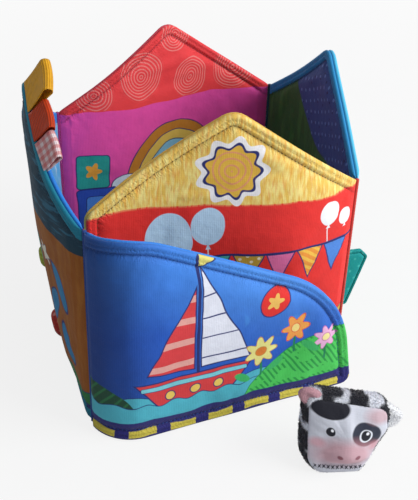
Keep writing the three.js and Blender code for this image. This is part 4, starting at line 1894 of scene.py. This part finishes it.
    def _tufts(self, base: Piece, name: str, plush: Plush) -> None:
        """Grow short pile on a piece.

        Args:
            base: the piece that it grows on.
            name: the pile's name.
            plush: the pile's finish.
        """
        pile = bpy.data.objects.new(name, base.data.copy())
        bpy.context.scene.collection.objects.link(pile)
        scatter = Scatter(f"{name}_nodes", ("Per Square Metre", "Pile Length", "Pile Thickness"))
        tree, given = scatter.tree, scatter.given
        spots = add(tree, "GeometryNodeDistributePointsOnFaces", {
            "Mesh": given["Geometry"], "Density": given["Per Square Metre"], "Seed": 7,
        }, distribute_method="RANDOM").node.outputs
        lean = {0: (-self.pile_lean,) * 3, 1: (self.pile_lean,) * 3, "Seed": 3}
        lean = add(tree, "FunctionNodeRandomValue.FLOAT_VECTOR", lean)
        lay = add(tree, "VectorMath.ADD", (spots["Normal"], lean))
        tuft = add(tree, "GeometryNodeMeshCone", {
            "Vertices": 4, "Radius Top": 0.0, "Radius Bottom": 0.5, "Depth": 1.0,
        }, fill_type="NONE")
        size = add(tree, "CombineXYZ", (given["Pile Thickness"], given["Pile Thickness"], given["Pile Length"]))
        scatter.stand(spots["Points"], tuft, lay, size, plush.material())
        scatter.bake(pile, {
            "Per Square Metre": self.tufts, "Pile Length": self.pile * MM, "Pile Thickness": self.tuft_width * MM,
        })
        settle(pile, self.body, "toy_fluff")

    def _whip_stitch(self, points: Array) -> None:
        """Close the cow's foot with a row of slanting stitches.

        Args:
            points: the body's finished points.
        """
        count = (len(self.own) - 2) // (2 * len(self.cap_rows) + len(self.band_rows))
        near = slice(0, count * len(self.cap_rows))
        own, real = self.own[near], points[near]
        line = []
        for x in np.arange(-22, 9, 1.6):
            gap = np.hypot(own[:, 0] - x, own[:, 2] - 5.5 - 0.004 * x * x)
            best = np.argsort(gap)[:4]
            weight = 1 / (gap[best] + 0.05)
            line.append((real[best] * weight[:, None]).sum(axis=0) / weight.sum())
        line = np.array(line)
        angle = radians(self.turn)
        facing = (sin(angle), -cos(angle), 0.35)
        line = line + np.array(facing) * 0.25
        edges = [(i, i + 1) for i in range(len(line) - 1)]
        for label, lean in (("rising", 1.0), ("falling", -0.75)):
            runs = make_object(f"toy_whip_stitches_{label}", line, [], edges=edges)
            sew(runs, "#33323f", self.body, spacing=2.9, long=4.2, thick=0.62, turn=lean, facing=facing)

    def _ears(self) -> None:
        """Make both ears, plump behind and hollow in front."""
        depth = -self.foot_depth / 2 + self.front_lean + self.top_depth / 2
        rows, columns, plump, hollowed = 22, 30, 5.0, 0.62
        for node, root, length, width, tilt, finish in (
            ("toy_left_ear", (-24.5, 51.5), 11.5, 13.5, 140.0, PLUSH_PINK),
            ("toy_right_ear", (23.0, 35.5), 15.0, 20.0, -20.0, PLUSH_WHITE),
        ):
            points = []
            for i in range(1, rows):
                across = pi * i / rows
                for j in range(columns):
                    around = 2 * pi * j / columns
                    x = cos(across)
                    y, z = sin(across) * cos(around), sin(across) * sin(around)
                    hollow = hollowed * exp(-((x - 0.35) ** 2 + z * z) / 0.22) if y < 0 else 0.0
                    points.append((x * length, y * plump * (1 - hollow), z * width / 2))
            points += [(length, 0, 0), (-length, 0, 0)]
            faces = tube(columns, rows - 1, True)
            flat = np.array(points)
            lumps = 1 + 0.07 * waves(flat[:, [0, 2]], 6, 2.0)
            angle = radians(tilt)
            x, z = flat[:, 0] * lumps, flat[:, 2] * lumps
            own = np.stack([
                root[0] + x * cos(angle) - z * sin(angle), depth - self.ear_forward + flat[:, 1],
                root[1] + x * sin(angle) + z * cos(angle),
            ], axis=1)
            own = self.placed(own)
            chart = np.stack([flat[:, 0] + 60, flat[:, 2] + 60], axis=1)
            far = np.full(len(own), 40.0)
            values = {EDGE: far, RUN: far, DARK: far * 0}
            piece = make_object(f"{node}_cloth", own, outward(own, faces), chart, values)
            slot = "toy_pink" if node == "toy_left_ear" else "toy_cloth"
            settle(piece, self.body, slot, node, finish)
            if finish is PLUSH_WHITE:
                self._tufts(piece, "toy_right_ear_pile", finish)


# Prints, each on its cloth's own map: places from the left end of what a reader sees, heights from the floor

DAISY_CREAM = "#ece58f"


def daisy(x: float, y: float, size: float, petals: int, colour: str, line: str, heart: str) -> tuple[Motif, ...]:
    """Give a printed flower on a stalk with its heart.

    Args:
        x: its place along the page.
        y: its height.
        size: its reach.
        petals: how many petals it has.
        colour: the petals' colour.
        line: the outline's colour.
        heart: the heart's colour.

    Returns:
        The stalk, the petals and the heart.
    """
    return (
        Motif(Block(x, y - size, 1.8, size * 1.9, 0.8, turn=4), "#1d8458"),
        Motif(Flower(x, y, size, petals), colour, 0.8, line),
        Motif(Disc(x, y, size * 0.3), heart, 0.6, line),
    )


MAINSAIL = Facets(((84, 53), (121, 53), (84, 128)))
JIB = Facets(((78, 116), (46, 56), (78, 53)))
BANK = Disc(8, 2, 36, 44)
HILL = Disc(196, -14, 84, 72)
COVER_OUTER = PrintedCloth("royal_blue_harbour_print_jersey", "#265cc2", (
    Motif(Above(108, 5, 160), "#4388e4", soft=50, strength=0.8),
    # Painted light: a soft lighter patch on the right part of the cover
    Motif(Disc(175, 118, 85, 45), "#5b9ff0", soft=50, strength=0.6),
    # Painted shade: a soft dark band towards the curl at the cover's left end
    Motif(Block(0, 80, 76, 400, 36), "#143272", soft=44, strength=0.8),
    Motif(Both(Dots(31, 5.2), Block(160, 90, 90, 130, 20)), "#4a92e2", strength=0.55, soft=2),
    Motif(Above(36, 1.6, 30, below=True), "#52b9cd", 0.7),
    Motif(Above(25, 1.4, 22, below=True), "#3fa3bd"),
    Motif(BANK, "#1f4a36"),
    Motif(Both(BANK, Stripes(6, 1.6, -35)), "#2f7a4a", strength=0.7),
    Motif(Block(81, 92, 2.4, 96), NAVY),
    Motif(MAINSAIL, "#e6e9f6", 1.0),
    Motif(Both(MAINSAIL, Stripes(17, 1.1, 90)), NAVY),
    Motif(JIB, "#dd4347", 1.0),
    Motif(Both(JIB, Stripes(17, 5, 90)), "#e9a9a0"),
    Motif(Facets(((82, 131), (103, 137), (82, 143))), "#e6dc7c", 0.9),
    Motif(Facets(((38, 48), (54, 27), (106, 27), (122, 48))), "#d94043", 1.1),
    Motif(Block(80, 43.5, 78, 3.4), "#7fd0dd", 0.5),
    Motif(Either((Disc(62, 35, 3.3), Disc(80, 35, 3.3), Disc(98, 35, 3.3))), "#ecca62", 0.8),
    Motif(Above(29, 1.5, 20, below=True), "#52b9cd", 0.7),
    Motif(HILL, "#4cc95c", 0.7, "#1d7a52"),
    Motif(Both(Both(HILL, Stripes(3.6, 1.5, 38)), Mottle(16, 9, 0.62)), "#1c8a42", strength=0.8),
    Motif(Disc(138, 92, 11), "#e2332f", 0.9),
    Motif(Flower(138, 92, 6.6, 5), "#efbf61"),
    *daisy(130, 54, 12.5, 7, DAISY_CREAM, "#c98f3c", "#e07f35"),
    *daisy(157, 66, 11.5, 6, "#f4a451", "#e5533b", "#f7e08a"),
    *daisy(182, 52, 10, 7, "#efb6de", "#c66bb0", "#f7e9a0"),
    Motif(Either((Disc(142, 38, 8, 3.2, 35), Disc(170, 47, 8, 3.2, 145), Disc(116, 33, 7, 3, 150))), "#3fb767"),
    Motif(Above(16.5, below=True), "#2b2a72"),
    Motif(Both(Stripes(29, 19.5), Block(105, 4.6, 300, 5.4)), "#d3c34e"),
))
COVER_INNER = PrintedCloth("sky_blue_dotted_print_jersey", "#58b3d4", (
    Motif(Above(30, 5, 70, below=True), "#57b98a", 0.7),
    Motif(Dots(24, 4.2), "#cfeaf5", strength=0.8),
), bead="#3d8ae6")
NIGHT_SKY = Above(137, 3, 120)
# The ochre ground and its streaks are set darker than the cloth's own colour: the print's ochre with painted shade
# over the whole outer face of the left page
LEFT_OUTER = PrintedCloth("ochre_leaf_print_jersey", "#93541a", (
    Motif(Mottle(5, 40, 0.35), "#a86c29", strength=0.6, soft=8),
    Motif(NIGHT_SKY, "#16384a"),
    Motif(Both(NIGHT_SKY, Mottle(26, 3.4, 0.3)), "#3c7d9c", strength=0.55, soft=2),
    Motif(Either((Disc(170, 96, 7, 17, 25), Disc(150, 70, 7, 17, -30), Disc(172, 50, 7, 15, 20))), "#2c80b4", 0.9),
    Motif(Either((Disc(128, 104, 6, 15, -20), Disc(110, 68, 6, 15, 25))), "#2fa398", 0.9),
    Motif(Flower(150, 112, 9, 6), "#e8e4d2", 0.8),
    Motif(Flower(96, 96, 9, 6), "#e8e4d2", 0.8),
    Motif(Either((Disc(60, 110, 7, 17, 25), Disc(40, 74, 7, 17, -30), Disc(66, 60, 6, 15, 10))), "#2c80b4", 0.9),
    Motif(Above(24, 3, 40, below=True), "#2f7a44", 0.8),
    Motif(Above(12, 0, below=True), "#28306a"),
), bead="#1c7f9a")
LEFT_INNER = PrintedCloth("sky_blue_streaked_print_jersey", "#5fb2ea", (
    Motif(Mottle(3.5, 26, 0.3), "#c4e2f7", strength=0.7, soft=3),
    Motif(Above(40, 6, 90, below=True), "#7cc0a0", 0.7),
), bead="#2f86e2")
BACK_INNER = PrintedCloth("magenta_nursery_print_jersey", "#ee52aa", (
    Motif(Above(152, 0.8, 150), "#ee4347"),
    *(
        Motif(Both(Above(153, 0.8, 150), Ripples(x, y, size, 2.5, 0.65)), "#f8b4ac", strength=0.62, soft=0.8)
        for x, y, size in ((30, 166, 18), (72, 178, 23), (106, 207, 17), (122, 168, 20), (166, 172, 21))
    ),
    *(
        Motif(Both(Disc(104, 84, size), Above(84)), colour, 0.9)
        for size, colour in ((48, "#c8822f"), (39, "#e9c55c"), (30, "#8fcbe6"), (21, "#3a4fae"), (12, "#df4f9e"))
    ),
    Motif(Either(tuple(
        Disc(x, y, wide, tall)
        for x, y, wide, tall in ((56, 84, 13, 9), (66, 80, 12, 8), (152, 84, 13, 9), (142, 80, 12, 8))
    )), "#e3eefa", 0.7),
    Motif(Block(30, 66, 34, 36, 3), "#2d4fb2", 0.9),
    Motif(Block(30, 66, 20, 21, 3), "#4f86d8", 0.7),
    Motif(Block(27, 100, 28, 29, 3), "#2b9c94", 0.9),
    Motif(Flower(27, 100, 8, 5), "#f0a53f"),
    Motif(Block(60, 52, 26, 27, 3), "#1f8a55", 0.9),
    Motif(Above(34, 0.6, 120, below=True), "#7c4fb0", 0.7),
))


def flower_bed(spots: tuple[tuple[float, float, float, int, str], ...], line: str, heart: str) -> tuple[Motif, ...]:
    """Give a row of printed flowers, each with its place, size, petals and colour."""
    return tuple(motif for spot in spots for motif in daisy(*spot, line, heart))


BACK_OUTER = PrintedCloth("rose_dotted_print_jersey", "#dd5fa2", (
    Motif(Above(152, 0.8, 150), "#d94a4a"),
    Motif(Dots(21, 3.6), "#f4c3dc"),
    *flower_bed((
        (28, 50, 12, 6, "#f3b04c"), (66, 62, 14, 8, "#8fcbe6"), (118, 52, 12, 5, "#f5e07c"),
        (166, 64, 14, 7, "#e8504a"),
    ), "#8c2f6c", "#f7ecc0"),
    Motif(Above(30, 4, 60, below=True), "#4aa457", 0.7),
), bead="#d8485a")
HEDGE = Above(186, 9, 120, -0.42, below=True)
RIGHT_INNER = PrintedCloth("night_blue_dotted_print_jersey", "#34508c", (
    Motif(Dots(9, 1.3, 20), "#6f8fd0", strength=0.8),
    Motif(Both(Dots(9, 1.1, 52), Mottle(20, 20, 0.5)), "#1d2a5c"),
    Motif(HEDGE, "#2c5a2e", 0.7),
    Motif(Both(HEDGE, Mottle(7, 44, 0.35)), "#3c7434", strength=0.6, soft=6),
    Motif(Disc(60, 52, 46, 34), "#2a4f9a", 0.8),
), bead="#2f8fc8")
RIGHT_OUTER = PrintedCloth("sea_green_dotted_print_jersey", "#2f9c92", (
    Motif(Above(150, 2, 110), "#3f8fc4"),
    Motif(Dots(23, 4.0), "#8fdcd0", strength=0.8),
    *flower_bed((
        (24, 60, 13, 7, "#f4d35c"), (70, 52, 11, 6, "#f07f9a"), (112, 64, 13, 8, "#f4f1e2"),
        (176, 52, 11, 5, "#f39a45"),
    ), "#1d5f6c", "#e0713a"),
    Motif(Above(32, 5, 70, below=True), "#3f9a50", 0.7),
), bead="#58c4ee")


STRING = 112.0


def pennant(x: float) -> Facets:
    """Give the printed flag that hangs under a place on its string."""
    return Facets(((x, STRING - 22), (x + 9.5, STRING), (x - 9.5, STRING)))


YELLOW_GABLE = Above(152.5, 0.5, 170)
FRONT_OUTER = PrintedCloth("red_and_yellow_fairground_print_jersey", "#e93430", (
    Motif(YELLOW_GABLE, "#edc35c"),
    Motif(Both(YELLOW_GABLE, Mottle(2.2, 14, 0.5)), "#f9ea96", strength=0.8, soft=3),
    Motif(Both(Above(153, 0.5, 170), Mottle(1.5, 9, 0.22)), "#e08c3c", strength=0.6, soft=2.5),
    Motif(Flower(100, 176, 25, 9, 0.1), "#f3f1f4"),
    Motif(Flower(100, 176, 20.5, 9, 0.1), NAVY),
    Motif(Flower(100, 176, 18.3, 9, 0.1), "#e7b948"),
    Motif(Both(Disc(100, 176, 16.5), Ripples(100, 176, 18, 4.2, 1.1)), "#e78f7a", strength=0.8, soft=0.8),
    Motif(Either((
        Disc(58, 128, 17, 20), Disc(86, 136, 12, 14), Facets(((58, 109), (55, 104), (61, 104))),
        Facets(((86, 123), (84, 119), (88, 119))),
    )), "#c4e2fc"),
    Motif(Either((Block(59, 90, 1.0, 30, 0.4, 3), Block(85, 106, 1.0, 28, 0.4, -4))), "#f3e6ea"),
    Motif(Either((
        Disc(172, 138, 8, 9.5), Disc(187, 131, 6, 7), Facets(((172, 130), (170, 126), (174, 126))),
        Facets(((187, 125), (185.5, 122), (188.5, 122))), Block(172, 120, 0.8, 13, 0.3, 5),
    )), "#f4f6fb"),
    *(
        Motif(Both(pennant(x), pattern) if pattern else pennant(x), colour, 0.0 if pattern else 0.9)
        for x, pattern, colour in (
            (70, None, "#f09a3e"), (70, Stripes(5, 2.2, 90), "#f6c34f"), (92, None, "#4fb3a8"),
            (114, None, "#c9a23e"), (114, Dots(5.4, 1.1), "#f4e8c8"), (136, None, "#e973a8"),
            (158, None, "#f09a3e"), (158, Stripes(5, 2.2, 60), "#f6c34f"), (180, None, "#4f86d8"),
        )
    ),
    Motif(Block(120, STRING + 1, 170, 1.8, 0.8), NAVY),
    Motif(Block(100, 47, 216, 5, 1), "#c9a23e", 0.7),
    Motif(Above(24, 4, 50, below=True), "#3f9a50", 0.7),
))
FRONT_INNER = PrintedCloth("yellow_striped_print_jersey", "#efc653", (
    Motif(Stripes(20, 6), "#e8604c"),
    Motif(Above(152, 0.5, 150), "#f2a04a"),
), bead="#e6ba58")
FLAP_CLOTH = PrintedCloth("teal_print_jersey", "#149494", (Motif(Dots(8, 1.1), "#4fc4ba", strength=0.6),))
OLIVE_PATCH = PrintedCloth("olive_ribbed_jersey", "#98a63c", (Motif(Stripes(3, 1.3, 90), "#b5c158", strength=0.6),))
RED_PATCH = PrintedCloth("dark_red_jersey", "#b0352d", (Motif(Dots(6, 1.2), "#e2a09a", strength=0.7),))
COW_FACE = PrintedCloth("white_printed_polyester_velour", "#d6d9e5", (
    Motif(Disc(46, 48.5, 14, 6, -6), "#1b1c26", soft=0.8),
    Motif(Disc(70, 31, 10.5, 7.6, -22), "#343848", soft=0.8),
    Motif(Disc(56, 18, 20, 11), "#cf929b", strength=0.72, soft=8),
    Motif(Disc(77, 22, 4.5, 3.2), "#e39aa6", strength=0.6, soft=3),
    Motif(Disc(38, 25, 4.5, 3.2), "#dd94a0", strength=0.55, soft=3),
    Motif(Disc(79, 41, 8, 4.5, -10), "#cf9aa0", strength=0.6, soft=4),
    Motif(Disc(79, 9, 5, 2.4, 35), "#30323f", soft=0.8),
    Motif(Disc(69.5, 30.3, 4.6, 4.2), "#e9edf6", soft=0.5),
    Motif(Either((Disc(69.5, 30.5, 3.4), Disc(46, 34, 3.2))), "#20212b", soft=0.5),
    Motif(Either((Disc(70.7, 31.7, 1.1), Disc(47.1, 35.2, 1.0))), "#f2f4fa", soft=0.4),
    Motif(Either((Disc(52, 18.5, 1.7, 1.2), Disc(63, 18.5, 1.7, 1.2))), "#94606b", soft=0.6),
), knit=0.9, sheen=0.12, roughness=0.75)
COW_BACK = PrintedCloth("white_spotted_polyester_velour", "#d6d9e5", (
    Motif(Either((Disc(48, 40, 12, 9, 20), Disc(74, 20, 9, 12, 15), Disc(45, 12, 8, 6))), "#2b2c38", soft=0.8),
), knit=0.9, sheen=0.12, roughness=0.75)


class Studio:
    """The camera of the photograph, soft daylight from the front right, and a pale floor."""

    # From the front left fold on the floor, in millimetres, with the turn of the camera in degrees
    CAMERA = (-116.8, -460.4, 419.1)
    TURN = (-23.65, 59.532, 2.087)
    LENS = 62.54
    KEY = (860.0, -740.0, 780.0)
    KEY_POWER = 18.4
    KEY_SIZE = 0.9
    SKY = 0.31

    def __init__(self, corner: Array) -> None:
        """Set up the camera.

        Args:
            corner: the front left fold's place on the floor, in millimetres.
        """
        self.corner = Vector((*corner, 0.0))
        data = bpy.data.cameras.new("photo_camera")
        data.lens = self.LENS
        data.clip_start, data.clip_end = 0.01, 20
        camera = bpy.data.objects.new("photo_camera", data)
        turn = [Matrix.Rotation(radians(angle), 4, axis) for angle, axis in zip(self.TURN, ("Z", "X", "Z"))]
        place = Matrix.Translation((self.corner + Vector(self.CAMERA)) * MM)
        camera.matrix_world = place @ turn[0] @ turn[1] @ turn[2]
        bpy.context.scene.collection.objects.link(camera)
        bpy.context.scene.camera = camera

    def _lamp(self, name: str, place: tuple[float, float, float], power: float, size: float) -> None:
        """Hang an area lamp that looks at the middle of the book.

        Args:
            name: the lamp's name.
            place: where it hangs, from the middle, in millimetres.
            power: its power in watts.
            size: its width in metres.
        """
        data = bpy.data.lights.new(name, "AREA")
        data.energy, data.size = power, size
        lamp = bpy.data.objects.new(name, data)
        middle = Vector((0.0, 0.0, 80 * MM))
        spot = middle + Vector(place) * MM
        lamp.matrix_world = Matrix.Translation(spot) @ (spot - middle).to_track_quat("Z", "Y").to_matrix().to_4x4()
        bpy.context.scene.collection.objects.link(lamp)

    def _sky(self) -> None:
        """Light the world softly, and show it white to the camera."""
        world = bpy.data.worlds.new("studio")
        world.use_nodes = True
        tree = world.node_tree
        tree.nodes.clear()
        rays = add(tree, "LightPath").node.outputs
        seen = add(tree, "Math.MAXIMUM", (rays["Is Camera Ray"], rays["Is Glossy Ray"]))
        seen = add(tree, "Math.MAXIMUM", (seen, rays["Is Transmission Ray"]))
        light = add(tree, "Background", ((0.93, 0.96, 1.0, 1), self.SKY))
        white = add(tree, "Background", ((1, 1, 1, 1), 1.0))
        mixed = add(tree, "MixShader", (seen, light, white))
        tree.links.new(mixed, tree.nodes.new("ShaderNodeOutputWorld").inputs["Surface"])
        bpy.context.scene.world = world

    def _floor(self) -> None:
        """Lay the floor, a hair under the set."""
        reach, low = 4000.0, -0.3
        points = np.array([(x * reach, y * reach, low) for x, y in ((-1, -1), (1, -1), (1, 1), (-1, 1))])
        floor = make_object("floor", points, [(0, 1, 2, 3)])
        floor.data.materials.append(Paper("white_matt_studio_paper").material())

    def light(self) -> None:
        """Set the lamps, the world, the floor and the view."""
        self._lamp("key_lamp", self.KEY, self.KEY_POWER, self.KEY_SIZE)
        self._sky()
        self._floor()
        bpy.context.scene.view_settings.view_transform = "Standard"


@dataclass(frozen=True)
class ClothBook:
    """The book: five padded pages, four fold seams, three ribbon tags, two patches and a flap."""

    page_width: float = 200.0
    cover_width: float = 211.0
    eave: float = 154.0
    gable: float = 64.0
    fold_start: float = 1.5

    def _gable(self, last_is_fold: bool) -> tuple[Corner, ...]:
        """Give the outline of a gabled page, whose far end is a fold or free.

        Args:
            last_is_fold: whether the page's far end is a fold.

        Returns:
            The outline's corners.
        """
        left, width = self.fold_start, self.page_width
        right = width - self.fold_start if last_is_fold else width
        return (
            Corner(left, 0, 1), Corner(right, 0, 1 if last_is_fold else 7, not last_is_fold),
            Corner(right, self.eave, 1 if last_is_fold else 10),
            Corner(width / 2, self.eave + self.gable, 14), Corner(left, self.eave, 1, False),
        )

    def _cover(self) -> tuple[Corner, ...]:
        """Give the cover's outline, which falls in a wide curve to its free end.

        Returns:
            The outline's corners.
        """
        return (
            Corner(self.fold_start, 0, 1), Corner(self.cover_width, 0, 7), Corner(194, 87, 92),
            Corner(40, self.eave + 5, 70), Corner(self.fold_start, self.eave, 1, False),
        )

    def pages(self) -> dict[str, PaddedPage]:
        """Give the five pages where the frame's fold seams stand.

        Returns:
            The pages by name.
        """
        front_left, back_left, back_right, front_right = (
            seam_foot(f"{corner}_fold_seam") for corner in ("front_left", "back_left", "back_right", "front_right")
        )
        pages = {
            "cover": PaddedPage(
                "cover", "cover", CurledWall(front_left), self._cover(), (0.0,), COVER_OUTER, COVER_INNER,
                mirror_inner=self.cover_width, seed=1.0, thread="#2a5fb8", slots=("blue_cloth", "sky_cloth"),
            ),
        }
        # Each wall with its prints, thread, slots and the places where something is sewn on it
        walls = {
            "left": (
                BowedWall(front_left, 80.7, 4.0, 25.0, 2.9), LEFT_OUTER, LEFT_INNER, "#3a5a80",
                ("orange_cloth", "sky_cloth"), ((100.0, 79.0, 13.0), (80.0, 31.0, 16.0)),
            ),
            "back": (
                BowedWall(back_left, 2.2, 4.7, sway=-9.0), BACK_OUTER, BACK_INNER, "#b03a58", ("pink_cloth",) * 2, (),
            ),
            "right": (
                BowedWall(back_right, -97.8, 12.0, sway=2.0), RIGHT_OUTER, RIGHT_INNER, "#2a86b0",
                ("green_cloth",) * 2, ((154.0, 42.0, 36.0),),
            ),
            "front": (
                BowedWall(front_right, 177.3, 4.0, sway=9.0), FRONT_OUTER, FRONT_INNER, "#70502a",
                ("red_cloth",) * 2, (),
            ),
        }
        for seed, (name, (wall, outer, inner, thread, slots, held)) in enumerate(walls.items(), 2):
            folded = name != "front"
            folds = (0.0, self.page_width) if folded else (0.0,)
            pages[name] = PaddedPage(
                name, f"{name}_page", wall, self._gable(folded), folds, outer, inner, mirror_outer=self.page_width,
                seed=float(seed), thread=thread, slots=slots, spots_held=held,
            )
        return pages

    def flap(self) -> PaddedPage:
        """Give the flap on the right page.

        Returns:
            The flap.
        """
        wall = BowedWall(seam_foot("flap_seam"), -7.0, 0.0, width=28.0)
        corners = (
            Corner(self.fold_start, 16, 1), Corner(14, 16, 3), Corner(28, 61, 3), Corner(22, 67, 3),
            Corner(self.fold_start, 67, 1, False),
        )
        return PaddedPage(
            "flap", "flap", wall, corners, (0.0,), FLAP_CLOTH, FLAP_CLOTH, mirror_outer=28.0, step=1.2,
            thread="#1d7f7c", inset_scale=0.27, height_scale=0.64, cap=0.3, seed=6.0, slots=("teal_cloth",) * 2,
        )

    def seams(self) -> tuple[FoldSeam, ...]:
        """Give the fold seams.

        Returns:
            The seams.
        """
        cloths = {
            "front_left_fold_seam": "#2c4a90", "back_left_fold_seam": "#9a2f78",
            "back_right_fold_seam": "#1d3c4c", "front_right_fold_seam": "#c9433c", "flap_seam": "#2a8a86",
        }
        return tuple(
            FoldSeam(node, frame["nodes"][node]["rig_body"], PrintedCloth(f"{node}_overcast_cotton", colour))
            for node, colour in cloths.items()
        )

    def tags(self) -> tuple[RibbonTag, ...]:
        """Give the ribbon tags from the peak down.

        Returns:
            The tags.
        """
        yellow = Ribbon("yellow_grosgrain_ribbon", "#f2b52a", "#cf901a", Weave.GROSGRAIN, 1.6)
        orange = Ribbon("rust_ribbed_ribbon", "#d9481a", "#a3300e", Weave.GROSGRAIN, 1.5)
        gingham = Ribbon("red_gingham_ribbon", "#cf3a38", "#f1dde0", Weave.GINGHAM, 1.1)
        return (
            RibbonTag("yellow_ribbon_tag", "yellow_ribbon", yellow, 2.0, 25.0, 25.0, 32.0, 3.4),
            RibbonTag("orange_ribbon_tag", "orange_ribbon", orange, 28.5, 22.0, 16.0, 38.0, 2.6),
            RibbonTag("gingham_ribbon_tag", "gingham_ribbon", gingham, 52.0, 21.0, 14.0, 36.0, 2.4),
        )

    def patches(self) -> tuple[Patch, ...]:
        """Give the patches on the left page.

        Returns:
            The patches.
        """
        return (
            Patch("upper_patch", "olive_patch", OLIVE_PATCH, 100.0, 79.0, 20.0, 18.0, 4.0),
            Patch("lower_patch", "red_patch", RED_PATCH, 80.0, 31.0, 22.0, 26.0, 6.0),
        )


def dress_fillings() -> None:
    """Give the hidden pads, films and stuffing of the frame their materials."""
    foam, film = FOAM.material(), FILM.material()
    for name, node in frame["nodes"].items():
        if name.endswith(("_pad", "_film", "_stuffing")):
            node.data.materials.clear()
            node.data.materials.append(film if name.endswith("_film") else foam)


def main() -> None:
    """Build the book, the cow and the studio."""
    logging.basicConfig(level=logging.INFO, format="%(message)s")
    corner = seam_foot("front_left_fold_seam")
    studio = Studio(corner)
    book = ClothBook()
    pages, flap, patches = book.pages(), book.flap(), book.patches()
    cow = CowToy(corner + (147.5, -95.5), COW_FACE, COW_BACK, COW_PLUSH)
    puffing = Puffing()
    for page in (*pages.values(), flap):
        page.puff(puffing)
    for patch in patches:
        patch.lay_out(pages["left"], puffing)
    cow.lay_out(puffing)
    moves = puffing.run()
    for piece in (*pages.values(), flap, *patches, cow):
        piece.dress(moves)
    for seam in book.seams():
        seam.dress()
    for tag in book.tags():
        tag.dress(pages["left"], book.eave, book.gable)
    dress_fillings()
    studio.light()


if __name__ == "__main__":
    main()
